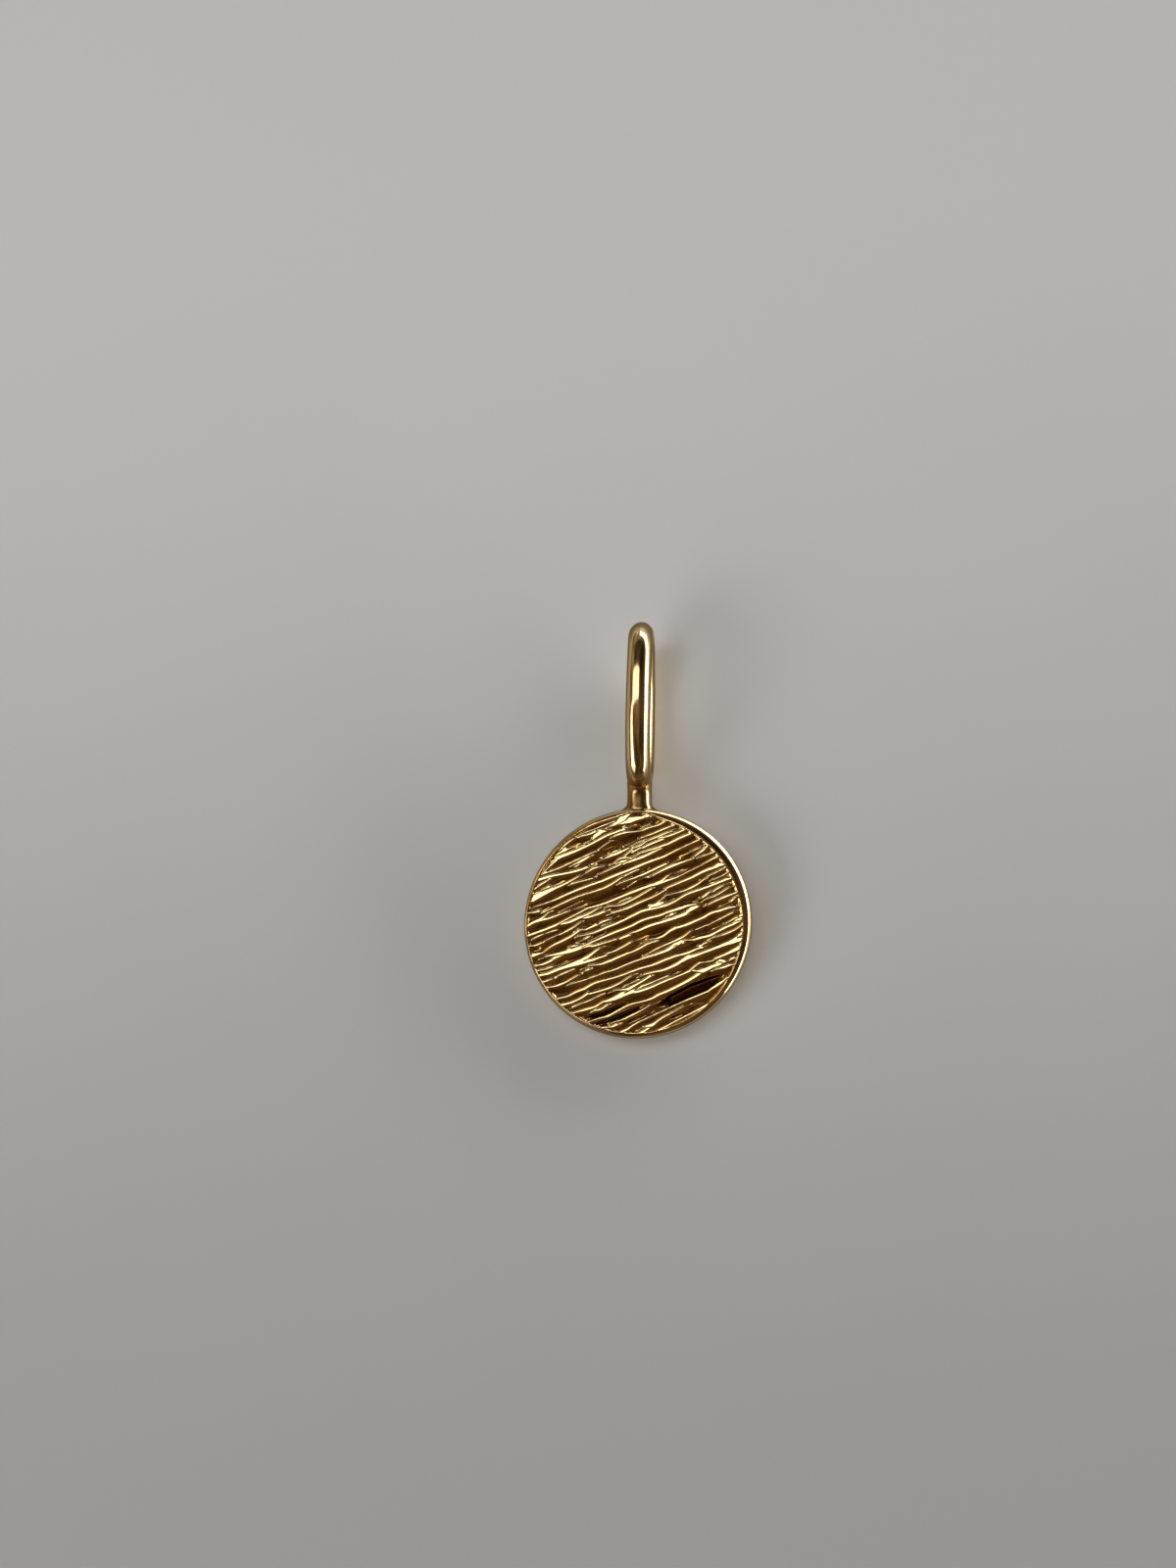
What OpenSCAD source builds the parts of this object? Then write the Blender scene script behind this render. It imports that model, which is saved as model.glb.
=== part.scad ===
// A round charm with a bark-like face, hung from an upright oval wire bail.
// Disc, bail and foot are one piece of metal. It lies face up, on the lower edge
// of the disc's back and on the back of the bail, with the bail towards +Y.

/* [Disc] */
// Outside diameter of the disc
disc_d = 11; // [9:0.5:14]
// Thickness from the flat back to the tops of the ridges
disc_t = 1.5; // [1.4:0.1:2]
// Radius of the rounding along both edges
edge_r = 0.25; // [0.15:0.05:0.35]

/* [Bark face] */
// Depth of the flutes between the ridges
flute_depth = 0.1; // [0.06:0.02:0.16]
// Plain border between the fluted field and the outline
border_w = 0.32; // [0.25:0.01:0.45]
// Sideways shift of the fluted field
field_shift = -0.08; // [-0.1:0.01:0.1]
// Angle of the grain, counter-clockwise from +X
grain_a = 23; // [0:1:45]

/* [Bail] */
// Thickness of the bail wire
wire_d = 1.2; // [1:0.05:1.3]
// Radius of the two tight ends of the oval, to the middle of the wire
end_r = 1.2; // [1:0.05:1.4]
// Distance from the centre of an end arc to the centre of a side arc
arc_gap = 8.3; // [7:0.1:9]

/* [Neck and foot] */
// Length of neck seen between the outline and the oval
neck_l = 0.9; // [0.6:0.05:1.2]
// Thickness of the neck
neck_d = 1.15; // [0.9:0.05:1.15]
// Thickness of the foot where it runs into the rim
foot_d = 1.4; // [1.2:0.05:1.4]
// Radius of the hollow curve from the foot to the neck
fillet_r = 0.4; // [0.3:0.05:0.5]
// Height of the foot above the rim
foot_h = 0.3; // [0.2:0.05:0.4]

/* [Hidden] */
disc_r = disc_d / 2;
wire_r = wire_d / 2;
neck_r = neck_d / 2;
foot_r = foot_d / 2;
mid_z = disc_t / 2;
foot_sink = 0.3;
overlap = 0.2;
// The tight ends are thicker by this radius, and the side arcs reach into them by this angle.
end_swell = 0.01;
tuck_a = 0.5;
round_fn = 96;
wire_fn = 48;

// The ridge tables are drawn for this disc radius and scale with the disc.
table_r = 5.5;
table_k = disc_r / table_r;
field_r = disc_r - border_w;

// The oval is two tight end arcs joined by two long side arcs. The line through the
// centres of neighbouring arcs is the long side of a 7-24-25 triangle.
short_leg = 7;
long_leg = 24;
long_side = 25;
end_x = arc_gap * short_leg / long_side;
side_y = arc_gap * long_leg / long_side;
side_r = arc_gap + end_r;
end_a = atan2(long_leg, short_leg);
half_l = end_x + end_r + wire_r + end_swell;
bail_y = disc_r + neck_l + half_l;

// Rest pose: the line that touches the back edge's rounding and the bail's back is level.
edge_y = -(disc_r - edge_r);
edge_z = edge_r;
back_y = bail_y;
back_z = mid_z + side_y;
back_r = side_r + wire_r;
reach = sqrt(pow(back_y - edge_y, 2) + pow(back_z - edge_z, 2));
rest_a = asin((back_r - edge_r) / reach) - atan2(back_z - edge_z, back_y - edge_y);

// The far end is on the end arc, the near end on the face edge's rounding and the
// floor under the back edge's rounding.
top_y = bail_y + end_x;
high_y = top_y * cos(rest_a) - mid_z * sin(rest_a) + end_r + wire_r + end_swell;
low_y = edge_y * cos(rest_a) - (disc_t - edge_r) * sin(rest_a) - edge_r;
floor_z = edge_y * sin(rest_a) + edge_z * cos(rest_a) - edge_r;
middle_y = (high_y + low_y) / 2;

// Ridges, one a row, along the grain (first two columns) and across it.
// Columns: where it starts, where it ends, its place across the grain at five even
// steps from start to end, its width at the start, in the middle and at the end.
upper_ridges = [
    [-2.05, -1.25,  4.72,  4.82,  4.88,  4.93,  4.97,  0.04, 0.06, 0.04],
    [-0.90,  0.90,  5.03,  5.01,  5.00,  4.99,  4.97,  0.03, 0.05, 0.04],
    [-0.90, -0.15,  4.93,  4.89,  4.86,  4.86,  4.88,  0.05, 0.05, 0.08],
    [-0.40,  0.32,  4.60,  4.70,  4.75,  4.76,  4.70,  0.10, 0.26, 0.05],
    [-3.25, -2.20,  3.99,  4.13,  4.22,  4.32,  4.40,  0.05, 0.07, 0.14],
    [-2.40,  1.15,  4.40,  4.37,  4.39,  4.47,  4.44,  0.14, 0.07, 0.08],
    [ 0.60,  1.85,  4.31,  4.29,  4.25,  4.15,  4.07,  0.04, 0.08, 0.04],
    [ 0.60,  2.45,  4.83,  4.80,  4.74,  4.67,  4.53,  0.04, 0.26, 0.06],
    [ 1.48,  1.98,  4.96,  5.00,  5.03,  5.07,  5.14,  0.12, 0.08, 0.06],
    [ 2.35,  3.15,  4.57,  4.53,  4.52,  4.47,  4.35,  0.10, 0.10, 0.03],
    [ 1.95,  3.55,  4.05,  4.04,  3.99,  4.03,  3.98,  0.05, 0.06, 0.07],
    [ 1.75,  3.90,  3.74,  3.71,  3.71,  3.70,  3.64,  0.04, 0.06, 0.04],
    [-0.25,  1.05,  3.50,  3.49,  3.48,  3.49,  3.53,  0.05, 0.09, 0.05],
    [ 1.85,  3.30,  3.50,  3.49,  3.48,  3.49,  3.46,  0.05, 0.06, 0.04],
    [ 2.50,  4.20,  3.41,  3.32,  3.30,  3.30,  3.27,  0.05, 0.07, 0.05],
    [ 1.60,  2.72,  3.26,  3.28,  3.29,  3.28,  3.27,  0.06, 0.08, 0.04],
    [ 0.05,  1.00,  3.10,  3.18,  3.19,  3.13,  3.00,  0.03, 0.06, 0.05],
    [ 0.05,  1.00,  3.08,  3.03,  3.01,  3.00,  2.99,  0.03, 0.07, 0.06],
    [ 1.35,  4.33,  3.09,  3.02,  2.98,  3.02,  3.01,  0.05, 0.08, 0.07],
    [-0.70,  0.35,  2.89,  2.90,  2.91,  2.92,  2.93,  0.03, 0.05, 0.04],
    [ 0.55,  2.40,  2.90,  2.87,  2.86,  2.87,  2.90,  0.04, 0.10, 0.04],
    [-4.20, -0.80,  2.62,  2.57,  2.59,  2.58,  2.54,  0.03, 0.08, 0.08],
    [-0.90,  2.50,  2.54,  2.54,  2.53,  2.53,  2.48,  0.08, 0.10, 0.08],
    [ 2.40,  4.55,  2.48,  2.53,  2.56,  2.58,  2.60,  0.07, 0.04, 0.06],
    [-3.30, -0.50,  3.96,  3.91,  3.93,  3.96,  3.98,  0.05, 0.05, 0.04],
    [-1.75, -0.88,  3.78,  3.79,  3.81,  3.83,  3.86,  0.03, 0.09, 0.04],
    [-3.60, -1.15,  3.78,  3.70,  3.57,  3.46,  3.42,  0.12, 0.09, 0.08],
    [-3.90, -3.05,  3.45,  3.50,  3.53,  3.56,  3.60,  0.05, 0.06, 0.03],
    [-4.30, -1.75,  3.04,  3.06,  3.08,  3.10,  3.17,  0.30, 0.09, 0.04],
    [-1.30, -0.50,  3.20,  3.24,  3.26,  3.23,  3.17,  0.03, 0.08, 0.03],
    [-2.20, -1.15,  2.97,  2.94,  2.90,  2.87,  2.84,  0.05, 0.05, 0.05],
];
middle_ridges = [
    [-4.65, -4.12,  2.47,  2.42,  2.39,  2.37,  2.36,  0.05, 0.07, 0.08],
    [-3.95, -1.60,  2.23,  2.25,  2.28,  2.29,  2.25,  0.04, 0.06, 0.05],
    [-1.70,  0.20,  2.25,  2.21,  2.19,  2.24,  2.34,  0.05, 0.07, 0.05],
    [ 0.00,  2.42,  2.11,  2.09,  2.08,  2.10,  2.13,  0.03, 0.08, 0.07],
    [ 1.60,  3.65,  1.85,  1.90,  1.92,  1.90,  1.87,  0.04, 0.10, 0.04],
    [ 3.80,  4.83,  1.93,  2.00,  2.06,  2.16,  2.10,  0.04, 0.09, 0.06],
    [ 4.00,  4.95,  1.80,  1.79,  1.78,  1.76,  1.75,  0.03, 0.05, 0.05],
    [-4.95, -4.10,  1.90,  1.95,  1.96,  1.95,  1.94,  0.08, 0.11, 0.16],
    [-4.15, -3.72,  1.98,  2.01,  2.05,  2.09,  2.12,  0.07, 0.05, 0.03],
    [-4.15, -2.85,  1.90,  1.85,  1.83,  1.82,  1.81,  0.09, 0.06, 0.04],
    [-5.15, -3.50,  1.47,  1.45,  1.43,  1.42,  1.42,  0.08, 0.09, 0.09],
    [-3.60, -1.90,  1.43,  1.47,  1.51,  1.55,  1.60,  0.05, 0.05, 0.06],
    [-2.00,  1.40,  1.60,  1.50,  1.49,  1.48,  1.45,  0.06, 0.09, 0.10],
    [ 1.30,  2.10,  1.45,  1.42,  1.41,  1.41,  1.42,  0.10, 0.14, 0.18],
    [ 1.95,  2.32,  1.46,  1.49,  1.53,  1.55,  1.57,  0.10, 0.07, 0.03],
    [ 1.95,  2.90,  1.39,  1.36,  1.34,  1.33,  1.35,  0.10, 0.06, 0.03],
    [ 3.90,  5.03,  1.42,  1.45,  1.48,  1.50,  1.51,  0.03, 0.05, 0.08],
    [-3.60, -1.45,  1.41,  1.31,  1.32,  1.32,  1.39,  0.06, 0.10, 0.04],
    [-2.45, -1.20,  1.30,  1.20,  1.15,  1.13,  1.14,  0.12, 0.07, 0.08],
    [-0.98,  1.30,  1.30,  1.13,  1.14,  1.20,  1.29,  0.06, 0.06, 0.05],
    [ 1.95,  4.60,  1.04,  1.04,  1.05,  1.10,  1.07,  0.05, 0.08, 0.11],
    [ 4.50,  5.03,  1.09,  1.11,  1.11,  1.06,  0.95,  0.12, 0.18, 0.04],
    [-0.90,  2.00,  0.93,  0.86,  0.89,  0.90,  0.99,  0.06, 0.07, 0.04],
    [-5.20, -4.60,  0.98,  0.92,  0.89,  0.89,  0.90,  0.05, 0.07, 0.05],
    [-3.60, -2.50,  0.94,  0.95,  0.98,  1.02,  1.10,  0.05, 0.06, 0.03],
    [-2.70, -1.80,  0.80,  0.69,  0.68,  0.69,  0.70,  0.04, 0.07, 0.10],
    [-5.40, -4.75,  0.54,  0.51,  0.48,  0.46,  0.43,  0.20, 0.12, 0.04],
    [-4.70, -2.62,  0.44,  0.57,  0.60,  0.65,  0.77,  0.04, 0.08, 0.07],
    [-2.85,  0.00,  0.51,  0.39,  0.39,  0.39,  0.44,  0.04, 0.08, 0.08],
    [-0.10,  2.20,  0.43,  0.46,  0.37,  0.28,  0.30,  0.08, 0.11, 0.06],
    [ 2.10,  4.80,  0.30,  0.39,  0.36,  0.33,  0.33,  0.06, 0.08, 0.08],
    [ 0.95,  1.58,  0.53,  0.49,  0.47,  0.46,  0.46,  0.14, 0.16, 0.06],
    [ 2.05,  3.85,  0.70,  0.62,  0.60,  0.64,  0.75,  0.03, 0.07, 0.05],
    [-5.40, -4.20,  0.03, -0.06, -0.09, -0.07, -0.02,  0.06, 0.08, 0.08],
    [-4.65, -3.40,  0.21,  0.15,  0.09,  0.04,  0.00,  0.05, 0.12, 0.16],
    [-4.40, -2.50, -0.02,  0.00, -0.02, -0.04, -0.09,  0.08, 0.14, 0.10],
    [-2.90, -0.10, -0.02,  0.01,  0.02,  0.01,  0.00,  0.05, 0.08, 0.08],
    [-2.70, -1.20, -0.10, -0.20, -0.24, -0.28, -0.31,  0.10, 0.06, 0.05],
    [-0.20,  1.60,  0.01,  0.05,  0.02, -0.05, -0.05,  0.08, 0.09, 0.07],
    [ 1.50,  3.00, -0.05, -0.08, -0.11, -0.13, -0.21,  0.08, 0.11, 0.06],
    [ 3.60,  4.72, -0.18, -0.20, -0.18, -0.14, -0.08,  0.03, 0.05, 0.04],
    [-5.30, -4.55, -0.26, -0.31, -0.34, -0.35, -0.36,  0.05, 0.05, 0.06],
    [-5.32, -3.80, -0.50, -0.59, -0.59, -0.60, -0.63,  0.10, 0.10, 0.15],
    [-3.90, -2.85, -0.62, -0.64, -0.66, -0.67, -0.68,  0.14, 0.22, 0.30],
    [-3.00, -2.10, -0.60, -0.57, -0.52, -0.46, -0.41,  0.14, 0.10, 0.04],
    [-3.00, -1.95, -0.75, -0.79, -0.81, -0.83, -0.85,  0.12, 0.09, 0.05],
    [-1.88, -0.62, -0.78, -0.80, -0.79, -0.76, -0.71,  0.05, 0.06, 0.06],
    [-0.50,  1.30, -0.31, -0.34, -0.32, -0.35, -0.41,  0.04, 0.10, 0.10],
    [ 1.20,  2.50, -0.38, -0.42, -0.44, -0.45, -0.44,  0.10, 0.12, 0.14],
    [ 2.40,  3.00, -0.41, -0.37, -0.34, -0.32, -0.30,  0.12, 0.15, 0.18],
    [ 3.50,  5.05, -0.46, -0.43, -0.42, -0.42, -0.44,  0.04, 0.07, 0.06],
];
lower_ridges = [
    [-5.32, -3.55, -1.11, -1.27, -1.30, -1.27, -1.21,  0.06, 0.07, 0.03],
    [-2.90, -0.90, -0.99, -1.13, -1.16, -1.15, -1.14,  0.05, 0.09, 0.07],
    [-1.00,  0.55, -1.15, -1.16, -1.13, -1.09, -1.13,  0.06, 0.07, 0.05],
    [ 0.30,  1.70, -0.93, -1.02, -1.01, -0.92, -0.89,  0.04, 0.08, 0.10],
    [ 1.60,  3.20, -0.89, -0.94, -0.95, -0.94, -0.93,  0.10, 0.09, 0.08],
    [ 3.10,  4.70, -0.93, -0.88, -0.93, -0.96, -1.04,  0.08, 0.10, 0.06],
    [-3.10, -1.60, -1.55, -1.57, -1.58, -1.62, -1.64,  0.04, 0.05, 0.06],
    [-1.70,  0.90, -1.63, -1.62, -1.65, -1.71, -1.74,  0.05, 0.06, 0.10],
    [ 0.80,  1.70, -1.74, -1.70, -1.65, -1.65, -1.66,  0.10, 0.16, 0.12],
    [ 1.25,  1.65, -1.60, -1.58, -1.57, -1.56, -1.55,  0.08, 0.28, 0.20],
    [ 0.70,  2.25, -1.46, -1.46, -1.45, -1.42, -1.30,  0.05, 0.07, 0.05],
    [ 4.45,  4.88, -1.65, -1.63, -1.60, -1.57, -1.52,  0.06, 0.26, 0.10],
    [ 1.85,  3.30, -1.61, -1.74, -1.78, -1.84, -1.84,  0.05, 0.10, 0.10],
    [ 3.20,  4.70, -1.84, -1.80, -1.78, -1.77, -1.74,  0.08, 0.08, 0.08],
    [ 3.10,  4.65, -2.00, -2.05, -2.07, -2.05, -1.97,  0.03, 0.06, 0.04],
    [-5.30, -3.50, -1.79, -1.88, -1.95, -1.92, -1.94,  0.06, 0.06, 0.08],
    [-3.60, -1.20, -1.94, -1.87, -1.93, -2.00, -2.02,  0.08, 0.06, 0.06],
    [-1.30,  1.30, -2.02, -2.05, -2.12, -2.12, -2.15,  0.06, 0.08, 0.08],
    [ 1.20,  2.30, -2.14, -2.19, -2.22, -2.21, -2.21,  0.08, 0.10, 0.06],
    [-4.80, -3.45, -2.22, -2.29, -2.30, -2.27, -2.19,  0.10, 0.06, 0.09],
    [-3.55, -1.20, -2.23, -2.30, -2.35, -2.32, -2.21,  0.07, 0.07, 0.03],
    [-4.70, -2.90, -2.73, -2.82, -2.88, -2.92, -2.84,  0.03, 0.09, 0.05],
    [-2.95, -1.40, -2.86, -2.90, -2.90, -2.87, -2.86,  0.06, 0.20, 0.28],
    [-2.20, -1.60, -2.55, -2.60, -2.65, -2.69, -2.74,  0.04, 0.07, 0.10],
    [-1.75, -0.35, -2.75, -2.72, -2.68, -2.63, -2.56,  0.14, 0.07, 0.08],
    [-1.60,  0.50, -2.95, -3.04, -3.07, -3.06, -3.05,  0.12, 0.08, 0.06],
    [-0.65,  1.20, -2.38, -2.44, -2.53, -2.54, -2.50,  0.05, 0.09, 0.12],
    [ 1.10,  2.20, -2.50, -2.46, -2.43, -2.46, -2.48,  0.10, 0.16, 0.10],
    [ 2.10,  3.70, -2.48, -2.49, -2.50, -2.51, -2.52,  0.09, 0.10, 0.14],
    [ 3.60,  4.45, -2.52, -2.53, -2.52, -2.50, -2.46,  0.14, 0.22, 0.40],
    [ 0.40,  1.60, -3.06, -3.06, -3.06, -3.06, -3.04,  0.06, 0.06, 0.08],
    [ 1.50,  2.70, -3.03, -2.94, -2.88, -2.96, -3.01,  0.07, 0.05, 0.05],
    [ 2.80,  4.20, -2.97, -2.97, -2.96, -2.94, -2.92,  0.06, 0.09, 0.18],
    [ 1.55,  2.00, -3.07, -3.12, -3.18, -3.23, -3.27,  0.06, 0.09, 0.14],
    [ 1.90,  3.20, -3.28, -3.28, -3.27, -3.28, -3.26,  0.20, 0.12, 0.12],
    [-3.45, -2.80, -3.07, -3.12, -3.13, -3.10, -3.05,  0.08, 0.06, 0.07],
    [-3.95, -2.00, -3.45, -3.50, -3.56, -3.51, -3.46,  0.03, 0.07, 0.06],
    [-2.10, -0.30, -3.46, -3.47, -3.54, -3.58, -3.54,  0.06, 0.06, 0.08],
    [-0.40,  1.90, -3.54, -3.54, -3.50, -3.44, -3.34,  0.08, 0.10, 0.12],
    [ 2.60,  3.62, -3.45, -3.48, -3.51, -3.51, -3.58,  0.03, 0.09, 0.05],
    [-3.90, -2.72, -3.85, -3.92, -3.99, -4.10, -4.10,  0.03, 0.06, 0.07],
    [-2.90, -0.95, -3.93, -3.98, -3.96, -3.92, -3.85,  0.03, 0.07, 0.03],
    [-3.20, -1.60, -4.37, -4.47, -4.50, -4.42, -4.37,  0.03, 0.08, 0.05],
    [-1.70,  2.00, -4.38, -4.34, -4.30, -4.28, -4.28,  0.04, 0.04, 0.07],
    [ 1.95,  3.05, -4.27, -4.21, -4.16, -4.11, -4.01,  0.06, 0.11, 0.06],
    [-2.60, -0.90, -4.64, -4.78, -4.88, -4.82, -4.72,  0.03, 0.07, 0.08],
    [-1.00,  0.50, -4.72, -4.63, -4.59, -4.55, -4.51,  0.08, 0.05, 0.02],
    [-1.65,  0.50, -5.05, -5.10, -5.07, -5.01, -4.97,  0.04, 0.06, 0.05],
    [ 0.40,  2.30, -4.97, -4.94, -4.90, -4.83, -4.73,  0.05, 0.07, 0.05],
];

// Columns of the ridge tables.
from = 0;
to = 1;
first_across = 2;
start_w = 7;
mid_w = 8;
end_w = 9;
steps = 4;

charm();

module charm() {
    color("gold")
        translate([0, -middle_y, -floor_z])
            rotate([rest_a, 0, 0]) {
                disc();
                foot();
                translate([0, bail_y, mid_z]) oval();
            }
}

// Disc with both edges rounded and the flutes sunk into its face.
module disc() {
    difference() {
        rotate_extrude($fn = round_fn) disc_section();
        translate([0, 0, disc_t - flute_depth])
            linear_extrude(height = flute_depth + overlap)
                difference() {
                    translate([field_shift, 0]) circle(r = field_r, $fn = round_fn);
                    rotate(grain_a) ridges();
                }
    }
}

module disc_section() {
    square([disc_r - edge_r, disc_t]);
    translate([0, edge_r]) square([disc_r, disc_t - 2 * edge_r]);
    for (level = [edge_r, disc_t - edge_r])
        translate([disc_r - edge_r, level]) circle(r = edge_r, $fn = wire_fn);
}

module ridges() {
    for (row = concat(upper_ridges, middle_ridges, lower_ridges)) ridge(row);
}

// One ridge seen from above: up one side, round the far tip and back down the other.
module ridge(row) {
    near = [for (i = [0:steps]) side_point(row, i, -1)];
    far = [for (i = [steps:-1:0]) side_point(row, i, 1)];
    start_tip = [row[from] - row[start_w] / 2, row[first_across]];
    end_tip = [row[to] + row[end_w] / 2, row[first_across + steps]];
    polygon(table_k * concat([start_tip], near, [end_tip], far));
}

function side_point(row, i, side) = [
    row[from] + (row[to] - row[from]) * i / steps,
    row[first_across + i] + side * width_at(row, i / steps) / 2
];

// Width runs straight from the start to the middle and from there to the end.
function width_at(row, t) = t < 0.5
    ? row[start_w] + (row[mid_w] - row[start_w]) * 2 * t
    : row[mid_w] + (row[end_w] - row[mid_w]) * (2 * t - 1);

// Upright oval of round wire: length along Y, depth along Z.
module oval() {
    rotate([90, 0, 90])
        for (turn = [0, 180])
            rotate([0, 0, turn]) {
                translate([end_x, 0, 0]) bent_wire(end_r, wire_r + end_swell, -end_a, end_a);
                translate([0, -side_y, 0]) bent_wire(side_r, wire_r, end_a - tuck_a, 180 - end_a + tuck_a);
            }
}

module bent_wire(radius, thick_r, start, stop) {
    rotate([0, 0, start])
        rotate_extrude(angle = stop - start, $fn = round_fn)
            translate([radius, 0]) circle(r = thick_r, $fn = wire_fn);
}

// Neck and flared foot in one turned section, from inside the disc up to the oval.
module foot() {
    neck_end = neck_l + wire_r;
    translate([0, disc_r, mid_z])
        rotate([-90, 0, 0])
            rotate_extrude($fn = wire_fn) {
                translate([0, -foot_sink]) square([neck_r, foot_sink + neck_end]);
                difference() {
                    translate([0, -foot_sink]) square([foot_r, foot_sink + foot_h]);
                    translate([neck_r + fillet_r, foot_h]) circle(r = fillet_r, $fn = wire_fn);
                }
            }
}
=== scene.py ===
import math

import bmesh
import bpy
import numpy as np
from mathutils import Matrix, Vector, noise


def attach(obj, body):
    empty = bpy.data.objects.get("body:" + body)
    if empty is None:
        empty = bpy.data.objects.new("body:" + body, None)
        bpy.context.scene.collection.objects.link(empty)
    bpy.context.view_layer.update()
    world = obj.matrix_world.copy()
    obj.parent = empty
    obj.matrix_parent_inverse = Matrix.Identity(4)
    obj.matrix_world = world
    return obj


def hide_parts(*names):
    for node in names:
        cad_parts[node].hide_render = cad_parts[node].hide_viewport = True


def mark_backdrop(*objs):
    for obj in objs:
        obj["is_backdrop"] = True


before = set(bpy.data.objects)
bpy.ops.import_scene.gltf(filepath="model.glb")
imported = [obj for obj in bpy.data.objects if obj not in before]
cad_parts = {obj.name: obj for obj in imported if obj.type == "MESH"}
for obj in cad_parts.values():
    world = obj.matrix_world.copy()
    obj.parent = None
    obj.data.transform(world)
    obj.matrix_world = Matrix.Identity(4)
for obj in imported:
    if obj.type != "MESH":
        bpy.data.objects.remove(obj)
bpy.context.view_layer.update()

print("frame loaded:", sorted(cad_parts))

# The charm is built in millimetres, lying flat: the disc's middle at the origin, its
# back at z = 0 and the bail towards +Y. It is laid down on the floor at the very end.
charm = {
    "discRadius": 5.5,
    "discThickness": 1.5,
    "grain": 23.0,          # degrees the bark pattern is turned from +X
    "restTilt": 5.14754,    # degrees, the bail's back and the disc's lower edge both touch
    "restBack": 4.478938,
    "restLift": 0.472042,
    "weld": 1e-4,           # points of a turned shape nearer than this become one
    "millimetre": 0.001,    # in metres
}
grainTurn = math.radians(charm["grain"])

# Ridges of the bark face in millimetres from the disc's middle, along and across the grain.
# Columns: where it starts, where it ends, its place across the grain at five even steps,
# its width at the start, in the middle and at the end, and how high it stands (1 is full).
upperRidges = [
    (-2.05, -1.25, 4.72, 4.82, 4.88, 4.93, 4.97, 0.04, 0.06, 0.04, 1),
    (-0.90, 0.90, 5.03, 5.01, 5.00, 4.99, 4.97, 0.03, 0.05, 0.04, 1),
    (-0.90, -0.15, 4.93, 4.89, 4.86, 4.86, 4.88, 0.05, 0.05, 0.08, 1),
    (-0.40, 0.32, 4.60, 4.70, 4.75, 4.76, 4.70, 0.10, 0.26, 0.05, 1),
    (-3.25, -2.20, 3.99, 4.13, 4.22, 4.32, 4.40, 0.05, 0.07, 0.14, 1),
    (-2.40, 1.15, 4.40, 4.37, 4.39, 4.47, 4.44, 0.14, 0.07, 0.08, 1),
    (0.60, 1.85, 4.31, 4.29, 4.25, 4.15, 4.07, 0.04, 0.08, 0.04, 1),
    (0.60, 2.45, 4.83, 4.80, 4.74, 4.67, 4.53, 0.04, 0.26, 0.06, 1),
    (1.48, 1.98, 4.96, 5.00, 5.03, 5.07, 5.14, 0.12, 0.08, 0.06, 1),
    (2.35, 3.15, 4.57, 4.53, 4.52, 4.47, 4.35, 0.10, 0.10, 0.03, 1),
    (1.95, 3.55, 4.05, 4.04, 3.99, 4.03, 3.98, 0.05, 0.06, 0.07, 1),
    (1.75, 3.90, 3.74, 3.71, 3.71, 3.70, 3.64, 0.04, 0.06, 0.04, 1),
    (-0.25, 1.05, 3.50, 3.49, 3.48, 3.49, 3.53, 0.05, 0.09, 0.05, 1),
    (1.85, 3.30, 3.50, 3.49, 3.48, 3.49, 3.46, 0.05, 0.06, 0.04, 1),
    (2.50, 4.20, 3.41, 3.32, 3.30, 3.30, 3.27, 0.05, 0.07, 0.05, 1),
    (1.60, 2.72, 3.26, 3.28, 3.29, 3.28, 3.27, 0.06, 0.08, 0.04, 1),
    (0.05, 1.00, 3.10, 3.18, 3.19, 3.13, 3.00, 0.03, 0.06, 0.05, 1),
    (0.05, 1.00, 3.08, 3.03, 3.01, 3.00, 2.99, 0.03, 0.07, 0.06, 1),
    (1.35, 4.33, 3.09, 3.02, 2.98, 3.02, 3.01, 0.05, 0.08, 0.07, 1),
    (-0.70, 0.35, 2.89, 2.90, 2.91, 2.92, 2.93, 0.03, 0.05, 0.04, 1),
    (0.55, 2.40, 2.90, 2.87, 2.86, 2.87, 2.90, 0.04, 0.10, 0.04, 1),
    (-4.20, -0.80, 2.62, 2.57, 2.59, 2.58, 2.54, 0.03, 0.08, 0.08, 1),
    (-0.90, 2.50, 2.54, 2.54, 2.53, 2.53, 2.48, 0.08, 0.10, 0.08, 1),
    (2.40, 4.55, 2.48, 2.53, 2.56, 2.58, 2.60, 0.07, 0.04, 0.06, 1),
    (-3.30, -0.50, 3.96, 3.91, 3.93, 3.96, 3.98, 0.05, 0.05, 0.04, 1),
    (-1.75, -0.88, 3.78, 3.79, 3.81, 3.83, 3.86, 0.03, 0.09, 0.04, 1),
    (-3.60, -1.15, 3.78, 3.70, 3.57, 3.46, 3.42, 0.12, 0.09, 0.08, 1),
    (-3.90, -3.05, 3.45, 3.50, 3.53, 3.56, 3.60, 0.05, 0.06, 0.03, 1),
    (-4.30, -1.75, 3.04, 3.06, 3.08, 3.10, 3.17, 0.30, 0.09, 0.04, 1),
    (-1.30, -0.50, 3.20, 3.24, 3.26, 3.23, 3.17, 0.03, 0.08, 0.03, 1),
    (-2.20, -1.15, 2.97, 2.94, 2.90, 2.87, 2.84, 0.05, 0.05, 0.05, 1),
]
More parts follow.
